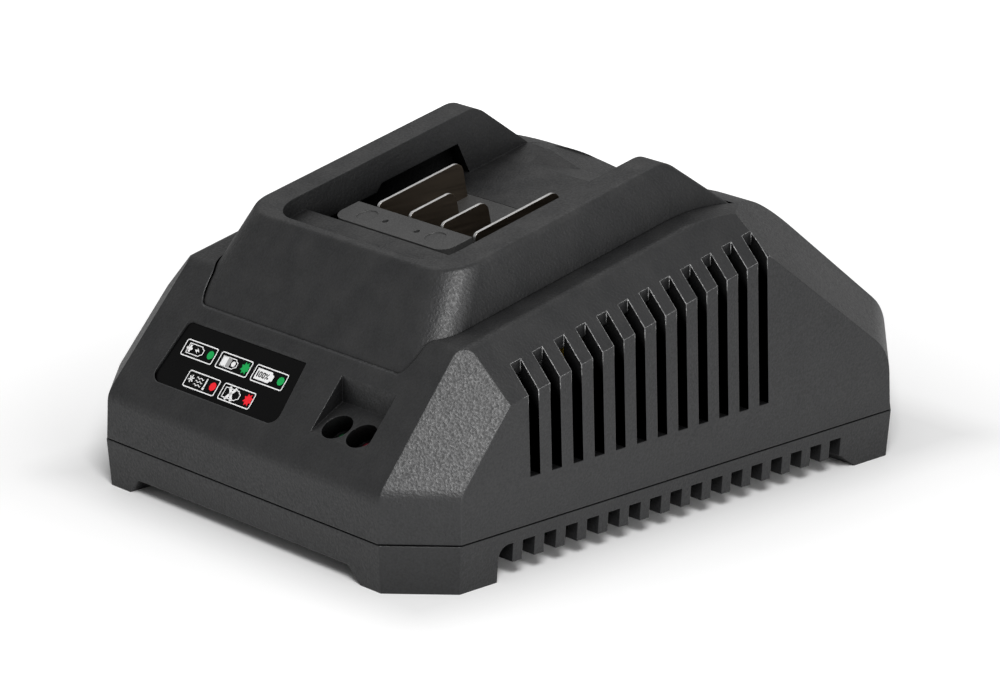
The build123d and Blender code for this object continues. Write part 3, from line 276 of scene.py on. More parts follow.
class SharedEffects:
    """Node groups that several finishes use."""

    BEVEL_SAMPLES = 6
    CREVICE_SAMPLES = 6
    LOUVRES = LouvreField()
    NEAR_GROUND: Span = (0.010, 0.024)       # heights where the crevice shade fades in
    GROUND_SHARE = 0.4                       # of the crevice shade on the ground
    PIT_SCALE = 0.55                         # of the pits, times the grain's
    PIT_SHARE = 0.45                         # of the pits in the relief
    BLOTCH_SCALE = 0.012                     # of the blotches, times the grain's
    LOOKING_UP: Span = (0.2, 1.0)            # Z of the normal where dust starts to lie
    SIDE_DUST = 0.25                         # share of the dust on upright faces
    DUST_PATCH: Span = (0.35, 0.75)

    def __init__(self) -> None:
        """Build each group once."""
        self.grain = shader_group(
            "moulded_grain", {"Scale": 2400.0, "Contrast": 0.5, "Blotch": 0.3},
            {"Tone": "NodeSocketFloat", "Height": "NodeSocketFloat"}, self._fill_grain)
        self.edges = shader_group(
            "edge_catch", {"Radius": 0.0003, "Gain": 4.0},
            {"Mask": "NodeSocketFloat", "Normal": "NodeSocketVector"}, self._fill_edges)
        self.dust = shader_group(
            "settled_dust", {"Amount": 0.2, "Scale": 160.0}, {"Mask": "NodeSocketFloat"}, self._fill_dust)
        self.painted_crevice_shade = shader_group(
            "crevice_shade", {"Distance": 0.02, "Gain": 1.4}, {"Mask": "NodeSocketFloat"}, self._fill_painted_crevice_shade)
        self.slots = shader_group(
            "louvre_painted_shade", {"Clear": 0.0008, "Black": 0.0042},
            {"Mask": "NodeSocketFloat", "PaintedGlint": "NodeSocketFloat"}, self._fill_louvre_shade_and_glint)

    def _fill_painted_crevice_shade(self, graph: Graph, taken: Sockets) -> dict[str, Input]:
        """Painted shade: how deep a point lies between neighbouring walls, from ambient occlusion; less near
        the ground.

        Args:
            graph: calls for the group's tree.
            taken: the group's inputs.

        Returns:
            The group's outputs by name.
        """
        node = graph.node("ShaderNodeAmbientOcclusion", {"Distance": taken["Distance"]},
                          samples=self.CREVICE_SAMPLES)
        closed = graph.math("SUBTRACT", 1.0, node.outputs["AO"])
        raised = graph.spread(graph.split(graph.coords())["Z"], *self.NEAR_GROUND,
                              to_low=self.GROUND_SHARE)
        gain = graph.math("MULTIPLY", taken["Gain"], raised)
        return {"Mask": graph.math("MULTIPLY", closed, gain, clamp=True)}

    def _fill_grain(self, graph: Graph, taken: Sockets) -> dict[str, Input]:
        """Spark-eroded mould texture: fine pits, a coarser grain and faint large blotches.

        Args:
            graph: calls for the group's tree.
            taken: the group's inputs.

        Returns:
            The group's outputs by name.
        """
        fine = graph.noise(taken["Scale"], detail=1.0)
        coarse = graph.math("MULTIPLY", taken["Scale"], self.PIT_SCALE)
        pits = graph.node("ShaderNodeTexVoronoi", {"Vector": graph.coords(), "Scale": coarse})
        wide = graph.math("MULTIPLY", taken["Scale"], self.BLOTCH_SCALE)
        blotch = graph.noise(wide, detail=3.0)
        swing = graph.math("MULTIPLY", graph.math("SUBTRACT", fine, 0.5), taken["Contrast"])
        cloud = graph.math("MULTIPLY", graph.math("SUBTRACT", blotch, 0.5), taken["Blotch"])
        tone = graph.math("ADD", graph.math("ADD", swing, cloud), 0.5, clamp=True)
        height = graph.math("ADD", fine, graph.math("MULTIPLY", pits.outputs["Distance"], self.PIT_SHARE))
        return {"Tone": tone, "Height": height}

    def _fill_edges(self, graph: Graph, taken: Sockets) -> dict[str, Input]:
        """Rounded normal at sharp edges and a mask of where it turns away from the flat one.

        Args:
            graph: calls for the group's tree.
            taken: the group's inputs.

        Returns:
            The group's outputs by name.
        """
        rounded = graph.node("ShaderNodeBevel", {"Radius": taken["Radius"]},
                             samples=self.BEVEL_SAMPLES).outputs[0]
        same = graph.node("ShaderNodeVectorMath", {0: rounded, 1: graph.normal()},
                          operation="DOT_PRODUCT").outputs["Value"]
        turned = graph.math("MULTIPLY", graph.math("SUBTRACT", 1.0, same), taken["Gain"], clamp=True)
        return {"Mask": turned, "Normal": rounded}

    def _fill_louvre_shade_and_glint(self, graph: Graph, taken: Sockets) -> dict[str, Input]:
        """Painted shade on the louvres' flanks, black deep below the roof flank, and a mask of the fins'
        upper rims for a painted glint.

        Args:
            graph: calls for the group's tree.
            taken: the group's inputs.

        Returns:
            The group's outputs by name.
        """
        field = self.LOUVRES
        at = graph.split(graph.coords())
        out = graph.math("ABSOLUTE", at["X"])
        knee = graph.math("ADD", graph.math("MULTIPLY", at["Y"], field.knee_rise), field.knee)
        rise = graph.math("MULTIPLY", graph.math("SUBTRACT", field.wall, out), field.flank_rise)
        below = graph.math("SUBTRACT", graph.math("ADD", knee, rise), at["Z"])
        depth = graph.math("MULTIPLY", below, field.flank_lean)
        fade = {0: depth, 1: taken["Clear"], 2: taken["Black"]}
        deep = graph.node("ShaderNodeMapRange", fade, interpolation_type="SMOOTHSTEP").outputs[0]
        along = graph.math("ABSOLUTE", graph.math("SUBTRACT", at["Y"], field.middle))
        inside = graph.spread(along, *field.half_length, to_low=1.0, to_high=0.0)
        flank = graph.spread(graph.math("ABSOLUTE", graph.split(graph.normal())["Y"]), *field.facing_along)
        glint_zone = graph.spread(depth, *field.rim_depth, to_low=1.0, to_high=0.0)
        mask = self._all_of(graph, deep, flank, inside, graph.spread(out, *field.wall_inside),
                            graph.spread(at["Z"], *field.foot))
        glint_zone = self._all_of(graph, glint_zone, inside, graph.spread(out, *field.rim_inside))
        return {"Mask": mask, "PaintedGlint": glint_zone}

    def _fill_dust(self, graph: Graph, taken: Sockets) -> dict[str, Input]:
        """Thin haze that lies more on faces that look up.

        Args:
            Make the floor.
            taken: the group's inputs.

        Returns:
            The group's outputs by name.
        """
        lying = graph.spread(graph.split(graph.normal())["Z"], *self.LOOKING_UP, self.SIDE_DUST)
        patch = graph.spread(graph.noise(taken["Scale"], detail=4.0), *self.DUST_PATCH)
        haze = graph.math("MULTIPLY", lying, patch)
        return {"Mask": graph.math("MULTIPLY", haze, taken["Amount"], clamp=True)}

    @staticmethod
    def _all_of(graph: Graph, first: Socket, *others: Socket) -> Socket:
        """Product of several masks.

        Args:
            graph: calls for the group's tree.
            first: one mask.
            *others: the masks it is multiplied by.

        Returns:
            The product's socket.
        """
        for mask in others:
            first = graph.math("MULTIPLY", first, mask)
        return first


# ------------------------------------------------------------------ finishes
@dataclass(frozen=True)
class Finish:
    """Common part of every finish: a material with a Principled shader."""

    name: str
    colour: Colour
    roughness: float

    def build(self, effects: SharedEffects) -> Material:
        """Make the material.

        Args:
            effects: the shared node groups.

        Returns:
            The finished material.
        """
        material = bpy.data.materials.new(self.name)
        material.use_nodes = True
        graph = Graph(material.node_tree)
        shader = material.node_tree.nodes["Principled BSDF"]
        graph.feed(shader, {"Base Color": (*self.colour, 1.0), "Roughness": self.roughness})
        graph.feed(shader, self.dress(graph, effects))
        return material

    def dress(self, graph: Graph, effects: SharedEffects) -> dict[str, Input]:
        """Add this finish's own nodes.

        Args:
            graph: calls for the material's tree.
            effects: the shared node groups.

        Returns:
            What the shader's inputs take.
        """
        raise NotImplementedError

    @staticmethod
    def group(graph: Graph, tree: bpy.types.NodeTree, **values: Input) -> Sockets:
        """Place a shared node group.

        Args:
            graph: calls for the material's tree.
            tree: the group.
            **values: values or sockets for its inputs.

        Returns:
            The group's outputs.
        """
        return graph.node("ShaderNodeGroup", values, node_tree=tree).outputs

    def shade(self, amount: float) -> Colour:
        """The finish's colour times a factor.

        Args:
            amount: the factor.

        Returns:
            The lighter or darker colour.
        """
        return tuple(min(1.0, c * amount) for c in self.colour)


@dataclass(frozen=True)
class MouldedPlastic(Finish):
    """Textured or smooth moulded plastic with rounded, slightly polished edges that carry a painted
    highlight.
    """

    grain_scale: float = 1700.0
    grain_depth: float = 0.00009
    grain_contrast: float = 2.2
    blotch: float = 0.5
    tones: Span = (0.72, 1.28)       # colour in the pits and on the crests, times the body's
    gloss_swing: float = 0.09
    edge_radius: float = 0.0004
    edge_gain: float = 3.0
    # edge colour, times the body's: a painted highlight on the edges
    painted_edge_highlight: float = 2.6
    edge_polish: float = 0.08
    dust: float = 0.04
    dust_scale: float = 140.0
    dust_colour: Colour = (0.30, 0.29, 0.28)
    specular: float = 0.5
    # gain and reach of the painted shade in crevices
    painted_crevice_shade: float = 1.2
    painted_shade_reach: float = 0.02
    # paints black shade deep in the louvres and glints on the fins' upper rims
    slots: bool = False
    painted_glint: float = 0.55              # brightness of the painted highlight on the louvre fins' upper rims
    painted_glint_edge: Span = (0.10, 0.45)  # edge mask where the painted highlight on the rims starts
    painted_sparkle: Span = (0.2, 0.8)       # grain tones between a weak and a full painted glint
    weak_painted_glint: float = 0.3

    def dress(self, graph: Graph, effects: SharedEffects) -> dict[str, Input]:
        """Grain in colour, gloss and height, a painted highlight on the edges, a trace of dust and painted
        shade in crevices; with the louvres set, painted glints on the fins' rims and painted black shade deep
        in the louvres.

        Args:
            graph: calls for the material's tree.
            effects: the shared node groups.

        Returns:
            What the shader's inputs take.
        """
        grain = self.group(graph, effects.grain, Scale=self.grain_scale, Contrast=self.grain_contrast,
                           Blotch=self.blotch)
        edge = self.group(graph, effects.edges, Radius=self.edge_radius, Gain=self.edge_gain)
        dust = self.group(graph, effects.dust, Amount=self.dust, Scale=self.dust_scale)
        body = graph.blend(grain["Tone"], *map(self.shade, self.tones))
        # painted highlight: the edges lighter than the body
        with_painted_edges = graph.blend(edge["Mask"], body, self.shade(self.painted_edge_highlight))
        skin = graph.blend(dust["Mask"], with_painted_edges, self.dust_colour)
        # painted shade: darker towards black in crevices and recesses
        painted_crevice_shade = self.group(graph, effects.painted_crevice_shade, Distance=self.painted_shade_reach, Gain=self.painted_crevice_shade)["Mask"]
        skin = graph.blend(painted_crevice_shade, skin, BLACK)
        if self.slots:
            louvre_paint = self.group(graph, effects.slots)
            # painted highlight: glints on the fins' upper rims, sparkling with the grain
            painted_sparkle = graph.spread(grain["Tone"], *self.painted_sparkle, to_low=self.weak_painted_glint)
            painted_spark = graph.math("MULTIPLY", louvre_paint["PaintedGlint"], painted_sparkle)
            painted_glint_mask = graph.math("MULTIPLY", graph.spread(edge["Mask"], *self.painted_glint_edge), painted_spark)
            skin = graph.blend(painted_glint_mask, skin, (self.painted_glint,) * 3)
            # painted shade: black deep in the louvres
            skin = graph.blend(louvre_paint["Mask"], skin, BLACK)
            painted_crevice_shade = graph.math("MAXIMUM", painted_crevice_shade, louvre_paint["Mask"])
        gloss = graph.spread(grain["Tone"], 0.0, 1.0, self.roughness + self.gloss_swing,
                             self.roughness - self.gloss_swing)
        polish = graph.math("MULTIPLY", edge["Mask"], self.edge_polish)
        return {"Base Color": skin,
                "Roughness": graph.math("SUBTRACT", gloss, polish),
                # no specular where the shade is painted
                "Specular IOR Level": graph.spread(painted_crevice_shade, 0.0, 1.0, self.specular, 0.0),
                "Normal": graph.bump(1.0, self.grain_depth, grain["Height"], edge["Normal"])}


@dataclass(frozen=True)
class GlossFilm(Finish):
    """Printed polyester film with a faint orange peel."""

    specular: float = 0.12
    smear: float = 0.08
    smear_scale: float = 90.0
    tones: Span = (0.8, 1.3)
    edge_radius: float = 0.0002
    peel_scale: float = 500.0
    peel_depth: float = 0.00004

    def dress(self, graph: Graph, effects: SharedEffects) -> dict[str, Input]:
        """Slow waves in the surface and fine smears in the gloss.

        Args:
            graph: calls for the material's tree.
            effects: the shared node groups.

        Returns:
            What the shader's inputs take.
        """
        smear = graph.noise(self.smear_scale, detail=4.0)
        edge = self.group(graph, effects.edges, Radius=self.edge_radius, Gain=3.0)
        peel = graph.noise(self.peel_scale)
        return {"Base Color": graph.blend(smear, *map(self.shade, self.tones)),
                "Roughness": graph.spread(smear, 0.3, 0.7, self.roughness, self.roughness + self.smear),
                "Specular IOR Level": self.specular,
                "Normal": graph.bump(0.2, self.peel_depth, peel, edge["Normal"])}


@dataclass(frozen=True)
class PrintInk(Finish):
    """Screen-printed ink with a slightly uneven lay."""

    mottle_scale: float = 5200.0
    tones: Span = (0.88, 1.05)
    gloss_swing: float = 0.15

    def dress(self, graph: Graph, effects: SharedEffects) -> dict[str, Input]:
        """Fine mottling of the ink.

        Args:
            graph: calls for the material's tree.
            effects: the shared node groups; not used here.

        Returns:
            What the shader's inputs take.
        """
        mottle = graph.noise(self.mottle_scale)
        rough = self.roughness + self.gloss_swing
        return {"Base Color": graph.blend(mottle, *map(self.shade, self.tones)),
                "Roughness": graph.spread(mottle, 0.3, 0.7, self.roughness, rough)}


@dataclass(frozen=True)
class PlatedMetal(Finish):
    """Rolled or plated metal with fine drawing lines along one axis."""

    along: Along = Along.Y
    line_scale: float = 3000.0
    tarnish: Colour = (0.30, 0.24, 0.17)
    tarnish_amount: float = 0.35
    painted_dark_sides: Colour | None = None     # painted shade: colour of the broad faces across X, darker for the dark reflection they show
    line_stretch: float = 0.03
    line_depth: float = 0.000006
    tones: Span = (0.82, 1.1)
    cloud_scale: float = 260.0
    gloss: Point = (0.06, 0.10)          # smoother and rougher than the mean roughness
    across: Span = (0.6, 0.9)            # X of the normal where the painted dark sides start
    edge_radius: float = 0.00018

    def dress(self, graph: Graph, effects: SharedEffects) -> dict[str, Input]:
        """Stretched noise for the lines, soft clouds for the tarnish and, where set, painted shade on the
        broad faces across X.

        Args:
            graph: calls for the material's tree.
            effects: the shared node groups.

        Returns:
            What the shader's inputs take.
        """
        stretch = [self.line_stretch if axis is self.along else 1.0 for axis in Along]
        lines = graph.noise(self.line_scale, detail=3.0, where=graph.place(stretch))
        cloud = graph.spread(graph.noise(self.cloud_scale, detail=4.0), 0.4, 0.7, 0.0, self.tarnish_amount)
        metal = graph.blend(lines, *map(self.shade, self.tones))
        metal = graph.blend(cloud, metal, self.tarnish)
        # painted shade on the broad faces across X
        if self.painted_dark_sides:
            across = graph.math("ABSOLUTE", graph.split(graph.normal())["X"])
            metal = graph.blend(graph.spread(across, *self.across), metal, self.painted_dark_sides)
        smooth, rough = self.gloss
        edge = self.group(graph, effects.edges, Radius=self.edge_radius, Gain=2.0)
        return {"Base Color": metal,
                "Roughness": graph.spread(lines, 0.25, 0.75, self.roughness - smooth, self.roughness + rough),
                "Metallic": 1.0,
                "Normal": graph.bump(0.5, self.line_depth, lines, edge["Normal"])}


@dataclass(frozen=True)
class LampLens(Finish):
    """Tinted epoxy of an unlit indicator lamp."""

    flow_scale: float = 900.0
    flow_depth: float = 0.00003
    tones: Span = (0.7, 1.35)
    clear: float = 0.1
    ior: float = 1.54

    def dress(self, graph: Graph, effects: SharedEffects) -> dict[str, Input]:
        """Uneven tint and faint flow marks.

        Args:
            graph: calls for the material's tree.
            effects: the shared node groups; not used here.

        Returns:
            What the shader's inputs take.
        """
        flow = graph.noise(self.flow_scale)
        return {"Base Color": graph.blend(flow, *map(self.shade, self.tones)),
                "Normal": graph.bump(0.15, self.flow_depth, flow),
                "Transmission Weight": self.clear,
                "IOR": self.ior}


@dataclass(frozen=True)
class SolderMask(Finish):
    """Green solder mask over copper tracks, with a fine weave below."""

    track: Colour = (0.035, 0.20, 0.075)
    track_scale: float = 95.0
    weave_scale: float = 1800.0
    border: Span = (0.48, 0.50)      # cell tones between bare board and track
    shares: Point = (0.8, 0.3)       # of the tracks and of the weave in the relief
    relief: float = 0.00005

    def dress(self, graph: Graph, effects: SharedEffects) -> dict[str, Input]:
        """Tracks as straight-edged cells, raised a little over the base.

        Args:
            graph: calls for the material's tree.
            effects: the shared node groups; not used here.

        Returns:
            What the shader's inputs take.
        """
        cells = graph.node("ShaderNodeTexVoronoi", {"Vector": graph.coords(), "Scale": self.track_scale},
                           distance="MANHATTAN", feature="F1").outputs["Color"]
        tone = graph.node("ShaderNodeSeparateColor", {0: cells}).outputs[0]
        copper = graph.spread(tone, *self.border)
        weave = graph.noise(self.weave_scale, detail=1.0)
        height = graph.math("ADD", graph.math("MULTIPLY", copper, self.shares[0]),
                            graph.math("MULTIPLY", weave, self.shares[1]))
        return {"Base Color": graph.blend(copper, self.colour, self.track),
                "Normal": graph.bump(0.6, self.relief, height)}


@dataclass(frozen=True)
class Wound(Finish):
    """Wire or tape laid in even turns."""

    along: Along = Along.Z
    turns_per_m: float = 700.0
    dark: Colour = (0.02, 0.01, 0.004)
    relief: float = 0.0002

    def dress(self, graph: Graph, effects: SharedEffects) -> dict[str, Input]:
        """Bands across the axis in colour and height.

        Args:
            graph: calls for the material's tree.
            effects: the shared node groups; not used here.

        Returns:
            What the shader's inputs take.
        """
        shape = {"Vector": graph.coords(), "Scale": self.turns_per_m / math.pi, "Distortion": 0.6,
                 "Detail": 1.0}
        bands = graph.node("ShaderNodeTexWave", shape, bands_direction=self.along.value,
                           wave_type="BANDS").outputs["Fac"]
        return {"Base Color": graph.blend(graph.spread(bands, 0.0, 0.5), self.dark, self.colour),
                "Normal": graph.bump(0.8, self.relief, bands)}


@dataclass(frozen=True)
class Epoxy(Finish):
    """Moulded, sintered or cast body with a matt grain."""

    grain_scale: float = 1800.0
    depth: float = 0.00004
    tones: Span = (0.75, 1.25)
    edge_radius: float = 0.0003
    # edge colour, times the body's: a painted highlight on the edges
    painted_edge_highlight: float = 1.8

    def dress(self, graph: Graph, effects: SharedEffects) -> dict[str, Input]:
        """Grain in tone and height, softly rounded edges with a painted highlight.

        Args:
            graph: calls for the material's tree.
            effects: the shared node groups.

        Returns:
            What the shader's inputs take.
        """
        grain = self.group(graph, effects.grain, Scale=self.grain_scale, Contrast=0.9, Blotch=0.6)
        edge = self.group(graph, effects.edges, Radius=self.edge_radius, Gain=3.0)
        body = graph.blend(grain["Tone"], *map(self.shade, self.tones))
        # painted highlight on the edges
        return {"Base Color": graph.blend(edge["Mask"], body, self.shade(self.painted_edge_highlight)),
                "Normal": graph.bump(0.8, self.depth, grain["Height"], edge["Normal"])}


@dataclass(frozen=True)
class ShrinkSleeve(Finish):
    """Shrink sleeve with a pale stripe down one side."""

    stripe: Colour = (0.45, 0.47, 0.5)
    border: Span = (0.93, 0.95)      # how far the surface looks to the front at the stripe's edge
    wrinkle_scale: float = 400.0
    wrinkle_depth: float = 0.0001

    def dress(self, graph: Graph, effects: SharedEffects) -> dict[str, Input]:
        """A stripe that looks to the front and faint wrinkles.

        Args:
            graph: calls for the material's tree.
            effects: the shared node groups; not used here.

        Returns:
            What the shader's inputs take.
        """
        front = graph.math("MULTIPLY", graph.split(graph.normal())["Y"], -1.0)
        wrinkle = graph.noise(self.wrinkle_scale, detail=3.0, where=graph.place((1, 1, 0.2)))
        return {"Base Color": graph.blend(graph.spread(front, *self.border), self.colour, self.stripe),
                "Normal": graph.bump(0.3, self.wrinkle_depth, wrinkle)}


@dataclass(frozen=True)
class StageFloor(Finish):
    """Plain white floor that shows as white and keeps the object's shadow; its glow is weaker close to the
    object's outline, which paints the shadow darker there.
    """

    middle: Point = (0.0, 0.006)                  # of what stands on the floor
    half: Point = (0.066, 0.094)
    near: Point = (0.016, 0.15)                   # distance from its outline and the glow there; less glow inside it paints the shadow darker
    far: Point = (0.30, 0.9)

    def dress(self, graph: Graph, effects: SharedEffects) -> dict[str, Input]:
        """Add a glow for the camera, and none for what the floor lights; the glow fades out close to the
        object's outline, which paints its shadow darker there.

        Args:
            graph: calls for the material's tree.
            effects: the shared node groups; not used here.

        Returns:
            What the shader's inputs take.
        """
        paths = graph.node("ShaderNodeLightPath").outputs
        seen = graph.math("MAXIMUM", paths["Is Camera Ray"], paths["Is Transmission Ray"])
        at = graph.split(graph.coords())
        squares = []
        for axis, middle, half in zip(("X", "Y"), self.middle, self.half):
            off = graph.math("ABSOLUTE", graph.math("SUBTRACT", at[axis], middle))
            side = graph.math("MAXIMUM", graph.math("SUBTRACT", off, half), 0.0)
            squares.append(graph.math("MULTIPLY", side, side))
        away = graph.math("SQRT", graph.math("ADD", *squares))
        # painted shadow: little glow close to the object's outline
        painted_shadow_glow = graph.spread(away, 0.0, self.near[0], 0.0, self.near[1])
        wide = graph.spread(away, self.near[0], self.far[0], 0.0, self.far[1] - self.near[1])
        return {"Emission Color": (*WHITE, 1.0),
                "Emission Strength": graph.math("MULTIPLY", seen, graph.math("ADD", painted_shadow_glow, wide)),
                "Specular IOR Level": 0.0}


# ------------------------------------------------------------------ meshes
def moved(at: Point, right: float, up: float) -> Point:
    """A point moved on the label.

    Args:
        at: where it was.
        right: how far to the right.
        up: how far up.

    Returns:
        The new place.
    """
    return at[0] + right, at[1] + up


def piece(name: str, shape: Shape, material: Material,
          body: str = HOUSING_BODY) -> None:
    """Turn a bmesh into a piece that rides on a body.

    Args:
        name: the piece's name.
        shape: the finished mesh, in metres in the row frame; it is freed.
        material: the piece's finish.
        body: the CAD body it moves with.
    """
    bmesh.ops.recalc_face_normals(shape, faces=shape.faces)
    mesh = bpy.data.meshes.new(name)
    shape.to_mesh(mesh)
    shape.free()
    made = bpy.data.objects.new(name, mesh)
    bpy.context.scene.collection.objects.link(made)
    mesh.materials.append(material)
    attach(made, body)
    LOG.info("piece %s: %d faces", name, len(mesh.polygons))


class Frame:
    """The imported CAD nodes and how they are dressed."""

    def __init__(self, loaded: dict) -> None:
        """Keep the loaded frame.
        """
        self.nodes = loaded["nodes"]

    def dress(self, node: str, material: Material) -> None:
        """Give a CAD node one material on all its faces.

        Args:
            node: the node's name.
            material: its finish.
        """
        mesh = self.nodes[node].data
        mesh.materials.clear()
        mesh.materials.append(material)
        LOG.info("node %s: %s", node, material.name)


# ------------------------------------------------------------------ sub-assemblies
class Assembly:
    """A group of pieces that belong together."""

    def build(self, frame: Frame, effects: SharedEffects) -> None:
        """Dress the CAD nodes of the group and add its own pieces.

        Args:
            frame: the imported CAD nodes.
            effects: the shared node groups.
        """
        raise NotImplementedError


@dataclass
class Enclosure(Assembly):
    """Upper and lower housing."""

    # the housing's louvres get painted black shade and painted glints on the fins' rims
    plastic: MouldedPlastic = MouldedPlastic("charcoal_plastic", (0.0145, 0.0148, 0.0155), 0.46, slots=True)

    def build(self, frame: Frame, effects: SharedEffects) -> None:
        """Dress both halves.

        Args:
            frame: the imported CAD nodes.
            effects: the shared node groups.
        """
        material = self.plastic.build(effects)
        for node in ("upper_housing", "lower_housing"):
            frame.dress(node, material)


@dataclass
class Dock(Assembly):
    """Battery dock, its terminal block and the four contact blades."""

    plastic: MouldedPlastic = MouldedPlastic("dock_plastic", (0.0135, 0.0138, 0.0145), 0.46, dust=0.06)
    block: MouldedPlastic = MouldedPlastic("block_plastic_black", (0.045, 0.045, 0.045), 0.5,
                                           grain_scale=3200.0, grain_depth=0.00002, edge_radius=0.0002,
                                          painted_crevice_shade=0.2)
    # the blades' broad faces get painted shade for the dark reflection they show
    blades: PlatedMetal = PlatedMetal("contact_plating", (0.95, 0.94, 0.92), 0.38, line_scale=1800.0,
                                      tarnish_amount=0.12, painted_dark_sides=(0.18, 0.145, 0.11))

    def build(self, frame: Frame, effects: SharedEffects) -> None:
        """Dress the dock and its contacts.

        Args:
            frame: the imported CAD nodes.
            effects: the shared node groups.
        """
        frame.dress("battery_dock", self.plastic.build(effects))
        frame.dress("terminal_block", self.block.build(effects))
        metal = self.blades.build(effects)
        for node in ("positive_terminal", "data_terminal", "temperature_terminal", "negative_terminal"):
            frame.dress(node, metal)


@dataclass
class IndicatorPanel(Assembly):
    """Glossy label with five printed charge states, and the two lamps beside it.

    Lengths are in millimetres on the label: u to the right from the middle of the housing, v up the
    slope from the label's bottom edge.
    """

    origin: tuple[float, float, float] = (0.0, -83.524, 29.3)
    slope_run: float = 0.862
    surface: float = -0.35           # label face below the housing's slope
    ink: float = 0.02                # thickness of the print
    frame_width: float = 12.15
    frame_height: float = 4.65
    frame_round: float = 0.65
    line: float = 0.3
    battery_line: float = 0.24
    top_row: tuple[Point, ...] = ((-35.85, 9.7), (-22.25, 9.65), (-8.65, 9.6))
    bottom_row: tuple[Point, ...] = ((-29.3, 2.4), (-15.65, 2.4))

    film: GlossFilm = GlossFilm("black_film", (0.0016, 0.0016, 0.0017), 0.22)
    white: PrintInk = PrintInk("white_ink", (0.86, 0.86, 0.86), 0.4)
    grey: PrintInk = PrintInk("grey_ink", (0.34, 0.34, 0.34), 0.4)
    black: PrintInk = PrintInk("black_ink", (0.004, 0.004, 0.004), 0.4)
    green: PrintInk = PrintInk("green_ink", (0.0, 0.36, 0.075), 0.4)
    red: PrintInk = PrintInk("red_ink", (0.86, 0.008, 0.02), 0.4)
    green_lens: LampLens = LampLens("green_lens", (0.008, 0.11, 0.035), 0.1)
    red_lens: LampLens = LampLens("red_lens", (0.15, 0.008, 0.02), 0.1)

    def to_model(self) -> Matrix:
        """Matrix from label millimetres to the row frame in metres.

        Returns:
            The matrix.
        """
        stretch = math.hypot(1.0, self.slope_run)
        up = Vector((0.0, self.slope_run / stretch, 1.0 / stretch))
        out = Vector((0.0, -1.0 / stretch, self.slope_run / stretch))
        turn = Matrix((Vector((1, 0, 0)), up, out)).transposed().to_4x4()
        start = Vector(self.origin) + out * self.surface
        return Matrix.Scale(MM, 4) @ Matrix.Translation(start) @ turn

    def _finish(self, name: str, shape: Shape, ink: PrintInk, effects: SharedEffects,
                layer: int = 0) -> None:
        """Give flat print its thickness, put it on the label and make the piece.

        Args:
            name: the piece's name.
            shape: the flat print; it is freed.
            ink: the print's finish.
            effects: the shared node groups.
            layer: number of layers of print below it.
        """
        bmesh.ops.recalc_face_normals(shape, faces=shape.faces)
        bmesh.ops.translate(shape, verts=shape.verts, vec=(0.0, 0.0, layer * self.ink))
        grown = bmesh.ops.extrude_face_region(shape, geom=shape.faces[:])
        lifted = [v for v in grown["geom"] if isinstance(v, bmesh.types.BMVert)]
        bmesh.ops.translate(shape, verts=lifted, vec=(0.0, 0.0, self.ink))
        bmesh.ops.transform(shape, matrix=self.to_model(), verts=shape.verts)
        piece(name, shape, ink.build(effects))

    @staticmethod
    def _fill(shape: Shape, outline: Sequence[Point],
              at: Point = (0.0, 0.0)) -> bmesh.types.BMFace:
        """Add one flat face with this outline, moved to at.

        Args:
            shape: the flat print it goes into.
            outline: its corners in order.
            at: how far the outline is moved.

        Returns:
            The new face.
        """
        face = shape.faces.new([shape.verts.new((x + at[0], y + at[1], 0.0)) for x, y in outline])
        face.normal_update()
        return face

    @staticmethod
    def _hollow(shape: Shape, faces: list[bmesh.types.BMFace], line: float) -> None:
        """Keep only a line of this width along the faces' border."""
        bmesh.ops.inset_region(shape, faces=faces, thickness=line, use_even_offset=True, use_boundary=True)
        bmesh.ops.delete(shape, geom=faces, context="FACES")

    def _rounded(self, shape: Shape, at: Point, size: Point, corner: float) -> None:
        """Add a rectangle with rounded corners.

        Args:
            shape: the flat print it goes into.
            at: its lower left corner.
            size: width and height.
            corner: how far each corner is cut back.
        """
        width, height = size
        face = self._fill(shape, ((0, 0), (width, 0), (width, height), (0, height)), at)
        bmesh.ops.bevel(shape, geom=list(face.verts), offset=corner, offset_type="OFFSET", segments=5,
                        profile=0.5, affect="VERTICES", material=-1)

    def _outline(self, shape: Shape, at: Point, size: Point, corner: float, line: float) -> None:
        """Add a rounded frame line of this width.

        Args:
            shape: the flat print it goes into.
            at: its lower left corner.
            size: width and height.
            corner: how far each corner is cut back.
            line: width of the line.
        """
        before = set(shape.faces)
        self._rounded(shape, at, size, corner)
        self._hollow(shape, [f for f in shape.faces if f not in before], line)

    def _battery(self, shape: Shape, at: Point) -> None:
        """Add the outline of a battery with its cap to the right.

        Args:
            shape: the flat print it goes into.
            at: lower left corner of the outline.
        """
        outline = ((0, 0), (5.0, 0), (5.35, 0.45), (6.1, 0.75),
                   (6.1, 2.15), (5.35, 2.45), (5.0, 2.9), (0, 2.9))
        self._hollow(shape, [self._fill(shape, outline, at)], self.battery_line)

    def _bar(self, shape: Shape, start: Point, end: Point, width: float) -> None:
        """Add a straight bar between two points.

        Args:
            shape: the flat print it goes into.
            start: middle of one end.
            end: middle of the other end.
            width: width of the bar.
        """
        a, b = Vector(start), Vector(end)
        run = b - a
        side = Vector((-run.y, run.x)).normalized() * width / 2
        self._fill(shape, [tuple(p) for p in (a - side, b - side, b + side, a + side)])

    def _wave(self, shape: Shape, at: Point, length: float, width: float) -> None:
        """Add a line of two waves along u.

        Args:
            shape: the flat print it goes into.
            at: its left end.
            length: length along u.
            width: width of the line.
        """
        steps, swing = 10, 0.22
        middle = [(at[0] + length * i / steps, at[1] + swing * math.sin(4 * math.pi * i / steps))
                  for i in range(steps + 1)]
        low = [(x, y - width / 2) for x, y in middle]
        high = [(x, y + width / 2) for x, y in reversed(middle)]
        self._fill(shape, low + high)

